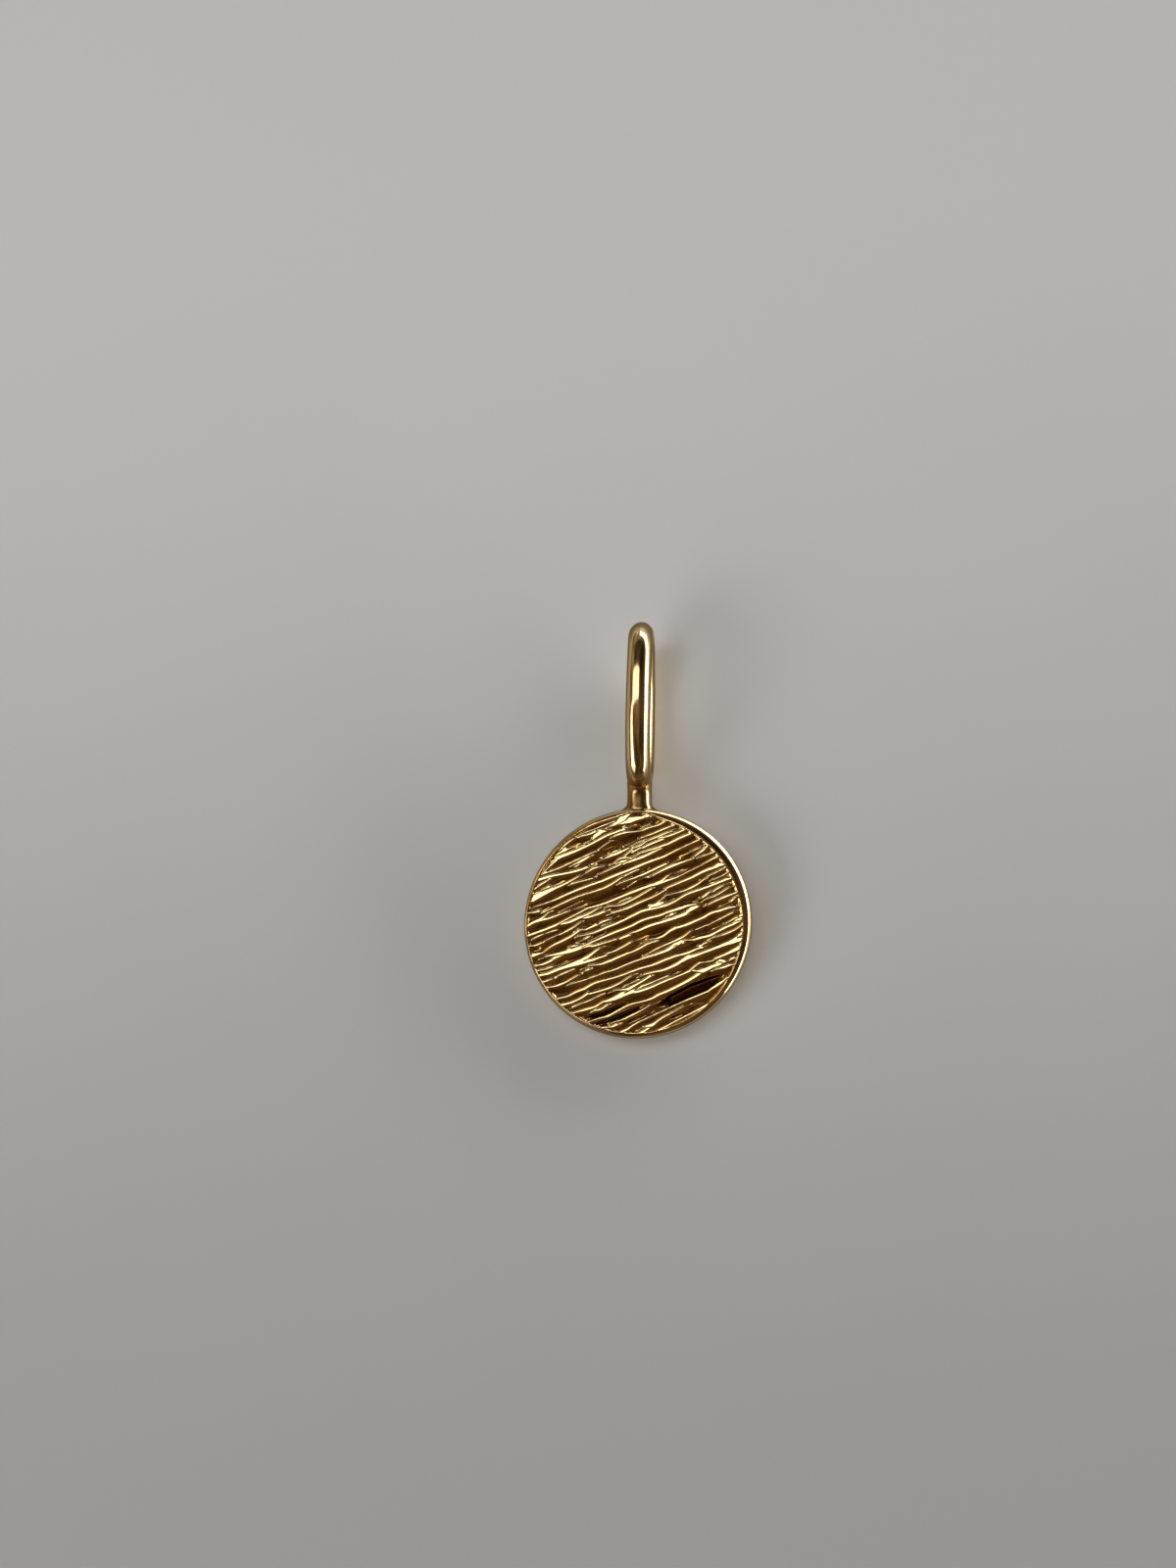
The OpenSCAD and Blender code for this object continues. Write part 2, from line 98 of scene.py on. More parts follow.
middleRidges = [
    (-4.65, -4.12, 2.47, 2.42, 2.39, 2.37, 2.36, 0.05, 0.07, 0.08, 1),
    (-3.95, -1.60, 2.23, 2.25, 2.28, 2.29, 2.25, 0.04, 0.06, 0.05, 1),
    (-1.70, 0.20, 2.25, 2.21, 2.19, 2.24, 2.34, 0.05, 0.07, 0.05, 1),
    (0.00, 2.42, 2.11, 2.09, 2.08, 2.10, 2.13, 0.03, 0.08, 0.07, 1),
    (1.60, 3.65, 1.85, 1.90, 1.92, 1.90, 1.87, 0.04, 0.10, 0.04, 1),
    (3.80, 4.83, 1.93, 2.00, 2.06, 2.16, 2.10, 0.04, 0.09, 0.06, 1),
    (4.00, 4.95, 1.80, 1.79, 1.78, 1.76, 1.75, 0.03, 0.05, 0.05, 1),
    (-4.95, -4.10, 1.90, 1.95, 1.96, 1.95, 1.94, 0.08, 0.11, 0.16, 1),
    (-4.15, -3.72, 1.98, 2.01, 2.05, 2.09, 2.12, 0.07, 0.05, 0.03, 1),
    (-4.15, -2.85, 1.90, 1.85, 1.83, 1.82, 1.81, 0.09, 0.06, 0.04, 1),
    (-5.15, -3.50, 1.47, 1.45, 1.43, 1.42, 1.42, 0.08, 0.09, 0.09, 1),
    (-3.60, -1.90, 1.43, 1.47, 1.51, 1.55, 1.60, 0.05, 0.05, 0.06, 1),
    (-2.00, 1.40, 1.60, 1.50, 1.49, 1.48, 1.45, 0.06, 0.09, 0.10, 1),
    (1.30, 2.10, 1.45, 1.42, 1.41, 1.41, 1.42, 0.10, 0.14, 0.18, 1),
    (1.95, 2.32, 1.46, 1.49, 1.53, 1.55, 1.57, 0.10, 0.07, 0.03, 1),
    (1.95, 2.90, 1.39, 1.36, 1.34, 1.33, 1.35, 0.10, 0.06, 0.03, 1),
    (3.90, 5.03, 1.42, 1.45, 1.48, 1.50, 1.51, 0.03, 0.05, 0.08, 1),
    (-3.60, -1.45, 1.41, 1.31, 1.32, 1.32, 1.39, 0.06, 0.10, 0.04, 1),
    (-2.45, -1.20, 1.30, 1.20, 1.15, 1.13, 1.14, 0.12, 0.07, 0.08, 1),
    (-0.98, 1.30, 1.30, 1.13, 1.14, 1.20, 1.29, 0.06, 0.06, 0.05, 1),
    (1.95, 4.60, 1.04, 1.04, 1.05, 1.10, 1.07, 0.05, 0.08, 0.11, 1),
    (4.50, 5.03, 1.09, 1.11, 1.11, 1.06, 0.95, 0.12, 0.18, 0.04, 1),
    (-0.90, 2.00, 0.93, 0.86, 0.89, 0.90, 0.99, 0.06, 0.07, 0.04, 1),
    (-5.20, -4.60, 0.98, 0.92, 0.89, 0.89, 0.90, 0.05, 0.07, 0.05, 1),
    (-3.60, -2.50, 0.94, 0.95, 0.98, 1.02, 1.10, 0.05, 0.06, 0.03, 1),
    (-2.70, -1.80, 0.80, 0.69, 0.68, 0.69, 0.70, 0.04, 0.07, 0.10, 1),
    (-5.40, -4.75, 0.54, 0.51, 0.48, 0.46, 0.43, 0.20, 0.12, 0.04, 1),
    (-4.70, -2.62, 0.44, 0.57, 0.60, 0.65, 0.77, 0.04, 0.08, 0.07, 1),
    (-2.85, 0.00, 0.51, 0.39, 0.39, 0.39, 0.44, 0.04, 0.08, 0.08, 1),
    (-0.10, 2.20, 0.43, 0.46, 0.37, 0.28, 0.30, 0.08, 0.11, 0.06, 1),
    (2.10, 4.80, 0.30, 0.39, 0.36, 0.33, 0.33, 0.06, 0.08, 0.08, 1),
    (0.95, 1.58, 0.53, 0.49, 0.47, 0.46, 0.46, 0.14, 0.16, 0.06, 1),
    (2.05, 3.85, 0.70, 0.62, 0.60, 0.64, 0.75, 0.03, 0.07, 0.05, 1),
    (-5.40, -4.20, 0.03, -0.06, -0.09, -0.07, -0.02, 0.06, 0.08, 0.08, 1),
    (-4.65, -3.40, 0.21, 0.15, 0.09, 0.04, 0.00, 0.05, 0.12, 0.16, 1),
    (-4.40, -2.50, -0.02, 0.00, -0.02, -0.04, -0.09, 0.08, 0.14, 0.10, 1),
    (-2.90, -0.10, -0.02, 0.01, 0.02, 0.01, 0.00, 0.05, 0.08, 0.08, 1),
    (-2.70, -1.20, -0.10, -0.20, -0.24, -0.28, -0.31, 0.10, 0.06, 0.05, 1),
    (-0.20, 1.60, 0.01, 0.05, 0.02, -0.05, -0.05, 0.08, 0.09, 0.07, 1),
    (1.50, 3.00, -0.05, -0.08, -0.11, -0.13, -0.21, 0.08, 0.11, 0.06, 1),
    (3.60, 4.72, -0.18, -0.20, -0.18, -0.14, -0.08, 0.03, 0.05, 0.04, 1),
    (-5.30, -4.55, -0.26, -0.31, -0.34, -0.35, -0.36, 0.05, 0.05, 0.06, 1),
    (-5.32, -3.80, -0.50, -0.59, -0.59, -0.60, -0.63, 0.10, 0.10, 0.15, 1),
    (-3.90, -2.85, -0.62, -0.64, -0.66, -0.67, -0.68, 0.14, 0.22, 0.30, 1),
    (-3.00, -2.10, -0.60, -0.57, -0.52, -0.46, -0.41, 0.14, 0.10, 0.04, 1),
    (-3.00, -1.95, -0.75, -0.79, -0.81, -0.83, -0.85, 0.12, 0.09, 0.05, 1),
    (-1.88, -0.62, -0.78, -0.80, -0.79, -0.76, -0.71, 0.05, 0.06, 0.06, 1),
    (-0.50, 1.30, -0.31, -0.34, -0.32, -0.35, -0.41, 0.04, 0.10, 0.10, 1),
    (1.20, 2.50, -0.38, -0.42, -0.44, -0.45, -0.44, 0.10, 0.12, 0.14, 1),
    (2.40, 3.00, -0.41, -0.37, -0.34, -0.32, -0.30, 0.12, 0.15, 0.18, 1),
    (3.50, 5.05, -0.46, -0.43, -0.42, -0.42, -0.44, 0.04, 0.07, 0.06, 1),
]
lowerRidges = [
    (-5.32, -3.55, -1.11, -1.27, -1.30, -1.27, -1.21, 0.06, 0.07, 0.03, 1),
    (-2.90, -0.90, -0.99, -1.13, -1.16, -1.15, -1.14, 0.05, 0.09, 0.07, 1),
    (-1.00, 0.55, -1.15, -1.16, -1.13, -1.09, -1.13, 0.06, 0.07, 0.05, 1),
    (0.30, 1.70, -0.93, -1.02, -1.01, -0.92, -0.89, 0.04, 0.08, 0.10, 1),
    (1.60, 3.20, -0.89, -0.94, -0.95, -0.94, -0.93, 0.10, 0.09, 0.08, 1),
    (3.10, 4.70, -0.93, -0.88, -0.93, -0.96, -1.04, 0.08, 0.10, 0.06, 1),
    (-3.10, -1.60, -1.55, -1.57, -1.58, -1.62, -1.64, 0.04, 0.05, 0.06, 1),
    (-1.70, 0.90, -1.63, -1.62, -1.65, -1.71, -1.74, 0.05, 0.06, 0.10, 1),
    (0.80, 1.70, -1.74, -1.70, -1.65, -1.65, -1.66, 0.10, 0.16, 0.12, 1),
    (1.25, 1.65, -1.60, -1.58, -1.57, -1.56, -1.55, 0.08, 0.28, 0.20, 1),
    (0.70, 2.25, -1.46, -1.46, -1.45, -1.42, -1.30, 0.05, 0.07, 0.05, 1),
    (4.45, 4.88, -1.65, -1.63, -1.60, -1.57, -1.52, 0.06, 0.26, 0.10, 1),
    (1.85, 3.30, -1.61, -1.74, -1.78, -1.84, -1.84, 0.05, 0.10, 0.10, 1),
    (3.20, 4.70, -1.84, -1.80, -1.78, -1.77, -1.74, 0.08, 0.08, 0.08, 1),
    (3.10, 4.65, -2.00, -2.05, -2.07, -2.05, -1.97, 0.03, 0.06, 0.04, 1),
    (-5.30, -3.50, -1.79, -1.88, -1.95, -1.92, -1.94, 0.06, 0.06, 0.08, 1),
    (-3.60, -1.20, -1.94, -1.87, -1.93, -2.00, -2.02, 0.08, 0.06, 0.06, 1),
    (-1.30, 1.30, -2.02, -2.05, -2.12, -2.12, -2.15, 0.06, 0.08, 0.08, 1),
    (1.20, 2.30, -2.14, -2.19, -2.22, -2.21, -2.21, 0.08, 0.10, 0.06, 1),
    (-4.80, -3.45, -2.22, -2.29, -2.30, -2.27, -2.19, 0.10, 0.06, 0.09, 1),
    (-3.55, -1.20, -2.23, -2.30, -2.35, -2.32, -2.21, 0.07, 0.07, 0.03, 1),
    (-4.70, -2.90, -2.73, -2.82, -2.88, -2.92, -2.84, 0.03, 0.09, 0.05, 1),
    (-2.95, -1.40, -2.86, -2.90, -2.90, -2.87, -2.86, 0.06, 0.20, 0.28, 1),
    (-2.20, -1.60, -2.55, -2.60, -2.65, -2.69, -2.74, 0.04, 0.07, 0.10, 1),
    (-1.75, -0.35, -2.75, -2.72, -2.68, -2.63, -2.56, 0.14, 0.07, 0.08, 1),
    (-1.60, 0.50, -2.95, -3.04, -3.07, -3.06, -3.05, 0.12, 0.08, 0.06, 1),
    (-0.65, 1.20, -2.38, -2.44, -2.53, -2.54, -2.50, 0.05, 0.09, 0.12, 1),
    (1.10, 2.20, -2.50, -2.46, -2.43, -2.46, -2.48, 0.10, 0.16, 0.10, 1),
    (2.10, 3.70, -2.48, -2.49, -2.50, -2.51, -2.52, 0.09, 0.10, 0.14, 1),
    (3.60, 4.45, -2.52, -2.53, -2.52, -2.50, -2.46, 0.14, 0.22, 0.40, 1),
    (0.40, 1.60, -3.06, -3.06, -3.06, -3.06, -3.04, 0.06, 0.06, 0.08, 1),
    (1.50, 2.70, -3.03, -2.94, -2.88, -2.96, -3.01, 0.07, 0.05, 0.05, 1),
    (2.80, 4.20, -2.97, -2.97, -2.96, -2.94, -2.92, 0.06, 0.09, 0.18, 1),
    (1.55, 2.00, -3.07, -3.12, -3.18, -3.23, -3.27, 0.06, 0.09, 0.14, 1),
    (1.90, 3.20, -3.28, -3.28, -3.27, -3.28, -3.26, 0.20, 0.12, 0.12, 1),
    (-3.45, -2.80, -3.07, -3.12, -3.13, -3.10, -3.05, 0.08, 0.06, 0.07, 1),
    (-3.95, -2.00, -3.45, -3.50, -3.56, -3.51, -3.46, 0.03, 0.07, 0.06, 1),
    (-2.10, -0.30, -3.46, -3.47, -3.54, -3.58, -3.54, 0.06, 0.06, 0.08, 1),
    (-0.40, 1.90, -3.54, -3.54, -3.50, -3.44, -3.34, 0.08, 0.10, 0.12, 1),
    (2.60, 3.62, -3.45, -3.48, -3.51, -3.51, -3.58, 0.03, 0.09, 0.05, 1),
    (-3.90, -2.72, -3.85, -3.92, -3.99, -4.10, -4.10, 0.03, 0.06, 0.07, 1),
    (-2.90, -0.95, -3.93, -3.98, -3.96, -3.92, -3.85, 0.03, 0.07, 0.03, 1),
    (-3.20, -1.60, -4.37, -4.47, -4.50, -4.42, -4.37, 0.03, 0.08, 0.05, 1),
    (-1.70, 2.00, -4.38, -4.34, -4.30, -4.28, -4.28, 0.04, 0.04, 0.07, 1),
    (1.95, 3.05, -4.27, -4.21, -4.16, -4.11, -4.01, 0.06, 0.11, 0.06, 1),
    (-2.60, -0.90, -4.64, -4.78, -4.88, -4.82, -4.72, 0.03, 0.07, 0.08, 1),
    (-1.00, 0.50, -4.72, -4.63, -4.59, -4.55, -4.51, 0.08, 0.05, 0.02, 1),
    (-1.65, 0.50, -5.05, -5.10, -5.07, -5.01, -4.97, 0.04, 0.06, 0.05, 1),
    (0.40, 2.30, -4.97, -4.94, -4.90, -4.83, -4.73, 0.05, 0.07, 0.05, 1),
]
# Hairline ridges and nicks between the larger ones, in the same columns.
fineRidges = [
    (-2.05, -1.78, 4.62, 4.63, 4.64, 4.64, 4.65, 0.12, 0.22, 0.14, 1),
    (1.20, 1.34, 4.54, 4.52, 4.50, 4.47, 4.44, 0.08, 0.10, 0.06, 1),
    (-1.15, -0.50, 4.52, 4.49, 4.47, 4.44, 4.42, 0.03, 0.03, 0.03, 0.7),
    (2.00, 2.40, 4.20, 4.20, 4.20, 4.20, 4.20, 0.03, 0.03, 0.03, 0.7),
    (1.10, 1.95, 3.59, 3.58, 3.58, 3.57, 3.57, 0.03, 0.03, 0.03, 0.75),
    (0.20, 0.50, 3.60, 3.62, 3.63, 3.62, 3.60, 0.06, 0.06, 0.06, 1),
    (1.25, 1.90, 3.44, 3.42, 3.42, 3.44, 3.48, 0.05, 0.06, 0.05, 1),
    (1.10, 1.55, 3.25, 3.27, 3.28, 3.29, 3.30, 0.05, 0.05, 0.05, 1),
    (0.72, 1.05, 3.23, 3.27, 3.30, 3.33, 3.35, 0.06, 0.06, 0.06, 1),
    (0.55, 0.95, 3.12, 3.10, 3.07, 3.04, 3.01, 0.04, 0.10, 0.05, 1),
    (1.00, 1.35, 3.00, 3.01, 3.02, 3.04, 3.05, 0.03, 0.03, 0.03, 1),
    (-0.50, 0.25, 3.99, 4.03, 4.07, 4.11, 4.15, 0.03, 0.03, 0.03, 0.8),
    (-1.60, -1.35, 3.68, 3.70, 3.71, 3.74, 3.76, 0.04, 0.04, 0.04, 1),
    (-3.60, -3.22, 3.25, 3.26, 3.26, 3.27, 3.28, 0.03, 0.05, 0.10, 1),
    (0.00, 1.00, 2.31, 2.33, 2.35, 2.37, 2.38, 0.06, 0.03, 0.02, 0.8),
    (3.85, 4.15, 2.22, 2.22, 2.22, 2.22, 2.22, 0.05, 0.05, 0.05, 1),
    (0.30, 1.50, 1.82, 1.88, 1.92, 1.90, 1.86, 0.02, 0.02, 0.02, 0.6),
    (-3.20, -2.20, 1.95, 1.97, 1.98, 2.00, 2.02, 0.02, 0.02, 0.02, 0.6),
    (2.60, 4.00, 1.34, 1.36, 1.38, 1.40, 1.42, 0.03, 0.04, 0.03, 0.9),
    (-0.30, 0.10, 1.28, 1.28, 1.28, 1.28, 1.28, 0.04, 0.04, 0.04, 0.7),
    (-4.60, -3.50, 0.91, 0.93, 0.94, 0.95, 0.95, 0.03, 0.03, 0.03, 0.85),
    (-5.00, -3.80, 1.22, 1.24, 1.24, 1.22, 1.20, 0.03, 0.03, 0.03, 0.65),
    (-1.68, -1.10, 0.70, 0.71, 0.71, 0.70, 0.69, 0.05, 0.07, 0.04, 1),
    (1.30, 1.85, 0.57, 0.60, 0.64, 0.69, 0.74, 0.04, 0.04, 0.04, 0.85),
    (4.00, 4.92, 0.81, 0.82, 0.83, 0.85, 0.87, 0.04, 0.04, 0.04, 0.9),
    (4.20, 5.10, 0.57, 0.57, 0.57, 0.60, 0.64, 0.04, 0.04, 0.04, 0.85),
    (4.05, 5.10, 0.44, 0.46, 0.48, 0.48, 0.47, 0.03, 0.03, 0.03, 0.6),
    (-1.70, -1.15, 0.55, 0.55, 0.55, 0.55, 0.55, 0.03, 0.03, 0.03, 0.7),
    (-2.60, -2.40, 0.28, 0.29, 0.29, 0.30, 0.30, 0.06, 0.06, 0.06, 1),
    (-3.35, -3.05, 0.18, 0.18, 0.17, 0.15, 0.12, 0.06, 0.08, 0.06, 1),
    (4.70, 5.15, 0.33, 0.33, 0.31, 0.27, 0.22, 0.08, 0.08, 0.04, 1),
    (3.40, 3.85, -0.03, 0.00, 0.02, 0.05, 0.07, 0.06, 0.09, 0.04, 1),
    (3.95, 4.55, 0.02, 0.06, 0.09, 0.10, 0.11, 0.05, 0.06, 0.03, 1),
    (1.62, 1.80, -0.22, -0.22, -0.22, -0.22, -0.22, 0.10, 0.10, 0.10, 1),
    (-0.98, -0.50, -0.36, -0.36, -0.36, -0.36, -0.36, 0.07, 0.09, 0.09, 1),
    (4.60, 4.90, -0.72, -0.69, -0.66, -0.63, -0.60, 0.08, 0.08, 0.05, 1),
    (-5.30, -4.80, -0.86, -0.88, -0.89, -0.90, -0.90, 0.06, 0.06, 0.04, 1),
    (-4.80, -3.70, -0.89, -0.88, -0.87, -0.87, -0.87, 0.04, 0.05, 0.03, 0.7),
    (-3.10, -2.95, -1.15, -1.15, -1.15, -1.15, -1.15, 0.06, 0.06, 0.06, 1),
    (-4.10, -2.90, -1.46, -1.50, -1.53, -1.55, -1.56, 0.03, 0.05, 0.04, 0.9),
    (-0.20, 0.80, -1.54, -1.52, -1.49, -1.47, -1.46, 0.03, 0.05, 0.05, 0.9),
    (2.50, 3.10, -1.33, -1.33, -1.33, -1.33, -1.33, 0.04, 0.04, 0.04, 0.7),
    (3.20, 4.50, -1.34, -1.32, -1.30, -1.27, -1.24, 0.03, 0.05, 0.05, 0.9),
    (3.95, 4.60, -1.60, -1.59, -1.57, -1.55, -1.53, 0.03, 0.05, 0.06, 1),
    (2.36, 2.46, -2.18, -2.18, -2.18, -2.18, -2.18, 0.18, 0.18, 0.18, 1),
    (2.52, 2.78, -2.12, -2.11, -2.10, -2.10, -2.10, 0.05, 0.05, 0.05, 1),
    (-4.40, -2.80, -2.52, -2.53, -2.54, -2.53, -2.51, 0.04, 0.05, 0.03, 0.75),
    (4.30, 4.60, -2.38, -2.36, -2.34, -2.30, -2.26, 0.10, 0.10, 0.06, 1),
    (-1.70, -0.80, -2.54, -2.53, -2.52, -2.52, -2.52, 0.03, 0.03, 0.03, 0.6),
    (-1.00, 0.45, -2.88, -2.88, -2.87, -2.87, -2.87, 0.05, 0.05, 0.05, 0.75),
    (4.10, 4.36, -2.90, -2.87, -2.84, -2.80, -2.76, 0.10, 0.10, 0.06, 1),
    (2.98, 3.25, -3.13, -3.17, -3.20, -3.23, -3.25, 0.10, 0.17, 0.12, 1),
    (3.50, 3.75, -3.27, -3.27, -3.27, -3.27, -3.27, 0.08, 0.08, 0.08, 0.8),
    (-1.50, -0.95, -4.70, -4.73, -4.75, -4.75, -4.73, 0.06, 0.14, 0.08, 1),
    (-0.30, 1.20, -5.27, -5.25, -5.23, -5.20, -5.17, 0.03, 0.03, 0.03, 0.7),
    (1.30, 1.80, -5.15, -5.12, -5.09, -5.05, -5.02, 0.03, 0.03, 0.03, 0.7),
    (2.25, 2.95, 4.66, 4.60, 4.62, 4.60, 4.55, 0.10, 0.12, 0.05, 1),
    (0.75, 1.95, 4.84, 4.90, 4.98, 5.08, 5.22, 0.10, 0.30, 0.16, 1),
]

# Wide scooped places where the flute leans back from the ridge above it. Columns: where it
# starts and ends, its deepest line at the start, middle and end, how deep it is there.
hollows = [
    (-1.05, 3.40, -4.02, -3.78, -3.84, 1.75),
    (-4.40, -1.25, -3.24, -3.31, -3.32, 0.95),
    (-4.10, -0.75, -3.66, -3.72, -3.70, 0.95),
    (-2.60, -0.40, -4.18, -4.14, -4.12, 0.50),
    (-0.70, 1.90, -4.78, -4.76, -4.72, 0.50),
    (-2.95, -1.25, 0.29, 0.27, 0.26, 0.55),
    (-5.20, -4.70, 0.78, 0.75, 0.74, 0.45),
    (1.20, 3.10, 4.24, 4.22, 4.18, 0.60),
    (0.20, 1.90, 2.28, 2.28, 2.28, 0.50),
]

face = {
    "depth": 0.13,          # how far the hollow flanks fall below the ridge tops
    # each for the gentle flank below a ridge and for the steep one above it
    "flanks": (0.26, 0.07),
    "keels": (0.9, 2.2),    # how fast they go on falling towards the flute, in depths per mm
    "bright": (0.05, 0.09), # how far the bright metal of the tops reaches down them
    "deepest": -0.8,        # floor of the widest flutes, in depths
    "slant": 1.15,          # fall across the ridge tops themselves, in depths per mm
    "bolder": 0.018,        # added to every ridge's width
    "endFlank": 0.35,       # how fast a ridge dies away past its ends
    "reach": 1.0,           # how far from its line a ridge is still felt
    # how fast a hollow rises below and above its deepest line
    "hollowSides": (3.1, 12.0),
    "hollowEnds": 1.35,     # above 1, a hollow keeps its depth over part of its length
    "crest": 0.05,          # how far the crest of a ridge is spared from the hollows,
    "spared": 3.0,          # and by how much, in depths
    "valley": 0.03,         # how wide the painted dark line of shade at the foot of the steep flanks is
    # lengthwise tool marks in the flutes: their height, how soon below the tops they are full,
    # and for the coarse and the fine ones the scale along and across, the layer and the share
    "tool": 0.009,
    "toolRise": 2.5,
    "toolNoises": ((0.7, 6.5, 8.3, 1), (1.1, 15, 2.9, 0.4)),
    "waver": 0.005,         # unevenness of the hand-finished tops
    "waverScale": 0.9,
    "waverLayer": 3.1,
    "rimFlank": 0.12,
    "rimKeel": 5.0,
    "rimTop": 0.06,         # width of the flat border on the left side
    "across": 540,          # mesh steps across and along the grain
    "along": 200,
    "half": 5.65,
    "margin": 0.12,         # how far the mesh reaches past the disc
    "underside": -1,        # where the block ends below
}


def ramp(values, start, end):
    # 0 at start, 1 at end, and held at these beyond them
    return np.clip((values - start) / (end - start), 0, 1)


def throughStations(values, t):
    # a smooth line through five even stations
    padded = np.array([2 * values[0] - values[1], *values, 2 * values[-1] - values[-2]])
    spot = t * (len(values) - 1)
    i = np.clip(spot.astype(int), 0, len(values) - 2)
    f = spot - i
    a, b, c, d = padded[i], padded[i + 1], padded[i + 2], padded[i + 3]
    return b + 0.5 * f * ((c - a) + f * ((2 * a - 5 * b + 4 * c - d) + f * (3 * (b - c) + d - a)))


def ridgeHeight(u, v):
    # about 1 on a ridge's top, falling in a hollow curve to both sides, then how much of it is
    # ridge top, and 1 where a hollow is scooped out
    height, tops = np.full_like(u, face["deepest"]), np.zeros_like(u)
    crests, scooped = np.zeros_like(u), np.zeros_like(u)
    reach = face["reach"]
    for row in upperRidges + middleRidges + lowerRidges + fineRidges:
        start, end, places, widths, rise = row[0], row[1], row[2:7], row[7:10], row[10]
        near = np.nonzero((u > start - reach) & (u < end + reach)
                          & (v > min(places) - reach) & (v < max(places) + reach))[0]
        if not len(near):
            continue
        t = ramp(u[near], start, end)
        across = v[near] - throughStations(places, t)
        half = (np.interp(t, (0, 0.5, 1), widths) + face["bolder"]) / 2
        aside = np.maximum(np.abs(across) - half, 0)
        beyond = np.maximum(np.maximum(start - u[near], u[near] - end), 0) * face["endFlank"]
        away = np.hypot(aside, beyond)
        flank, keel, bright = (np.where(across > 0, steep, gentle) for gentle, steep
                               in (face["flanks"], face["keels"], face["bright"]))
        slant = face["slant"] * (np.clip(across, -half, half) + half)
        top = rise * np.exp(-away / (flank * rise)) - keel * away - slant
        height[near] = np.maximum(height[near], top)
        tops[near] = np.maximum(tops[near], rise * np.exp(-away / bright))
        crests[near] = np.maximum(crests[near], rise * np.exp(-away / face["crest"]))
    for start, end, *line, depth in hollows:
        t = ramp(u, start, end)
        across = v - np.interp(t, (0, 0.5, 1), line)
        level = 1 - (1 + depth) * np.minimum(np.sin(t * math.pi) * face["hollowEnds"], 1)
        below, above = face["hollowSides"]
        bowl = level + np.maximum(-across * below, across * above) + face["spared"] * crests
        scooped[bowl < height] = 1
        height = np.minimum(height, bowl)
    return height, tops, scooped


rim = {
    "width": 0.295,         # of the rounding from the face down to the outline, on average
    "wider": (0.155, 0.05), # more on the right and at the top, less on the left
    "atFoot": (0.22, 0.17), # less where the foot stands, over this many radians
    "drop": 0.32,           # how far the rounding comes down the side where it is widest
    "dropPower": 0.6,       # how strongly a narrower rounding comes down less
    "widest": 0.45,
    "backRounding": 0.25,
    "backSteps": 6,
    "backRings": (0, 2, 4, 5, 5.19),    # radii of the mesh rings on the flat back and face
    "faceRings": (3, 0),
    "turns": 256,
    "above": 0.004,         # how far the disc stands over the ridges until it is cut to them
    # how far out and how far down the rounding goes, as shares
    "shape": ((0, 0), (0.1, 0.02), (0.25, 0.075), (0.4, 0.155), (0.55, 0.26), (0.68, 0.375),
              (0.74, 0.45), (0.82, 0.565), (0.9, 0.685), (0.95, 0.775), (0.98, 0.86),
              (0.995, 0.93), (1, 1)),
    # how much steeper the edge starts and falls where it faces the lower left
    "steeper": (0.6, 0.5),
    "steepTowards": 225.0,
    "steepFrom": (0.75, 0.9),
    "oval": 0.01,           # how much the outline is out of round, as a share
    "ovalTurn": 55.0,
    "ovalFrom": (4.7, 5.5),
}


def roundingWidth(angle):
    plain = rim["width"] + rim["wider"][0] * np.cos(angle) + rim["wider"][1] * np.sin(angle)
    return plain - rim["atFoot"][0] * np.exp(-((angle - math.pi / 2) / rim["atFoot"][1]) ** 2)


def steepShare(angle):
    # how much of the rim's steeper edge there is at this angle
    return ramp(np.cos(angle - math.radians(rim["steepTowards"])), *rim["steepFrom"])


def reliefAt(x, y):
    # height of the face as a share, how much of it is ridge top, and where it is scooped out
    u = x * math.cos(grainTurn) + y * math.sin(grainTurn)
    v = y * math.cos(grainTurn) - x * math.sin(grainTurn)
    ridges, tops, scooped = ridgeHeight(u, v)
    angle = np.arctan2(y, x)
    border = face["rimTop"] * (0.5 - 0.5 * np.cos(angle))
    inside = charm["discRadius"] - roundingWidth(angle) - border - np.hypot(x, y)
    inside = np.maximum(inside, 0)
    edge = np.exp(-inside / face["rimFlank"]) - face["rimKeel"] * inside
    return np.maximum(ridges, edge), tops * (inside > 0), scooped


def toMesh(bm, name):
    made = bpy.data.objects.new(name, bpy.data.meshes.new(name))
    bpy.context.scene.collection.objects.link(made)
    bm.to_mesh(made.data)
    bm.free()
    return made


def combine(target, other, operation):
    cut = target.modifiers.new(operation.lower(), "BOOLEAN")
    cut.operation = operation
    cut.solver = "MANIFOLD"
    cut.object = other
    cutTarget = target.evaluated_get(bpy.context.evaluated_depsgraph_get())
    made = bpy.data.meshes.new_from_object(cutTarget)
    target.modifiers.clear()
    old, target.data = target.data, made
    bpy.data.meshes.remove(old)
    bpy.data.objects.remove(other)
    return target


def turned(bm, points, axis, steps):
    # a line of points turned all the way round, welded where it closes
    profile = [bm.verts.new(point) for point in points]
    edges = [bm.edges.new(pair) for pair in zip(profile, profile[1:])]
    bmesh.ops.spin(bm, geom=profile + edges, cent=(0, 0, 0), axis=axis, angle=math.tau,
                   steps=steps, use_merge=True)
    bmesh.ops.remove_doubles(bm, verts=bm.verts, dist=charm["weld"])


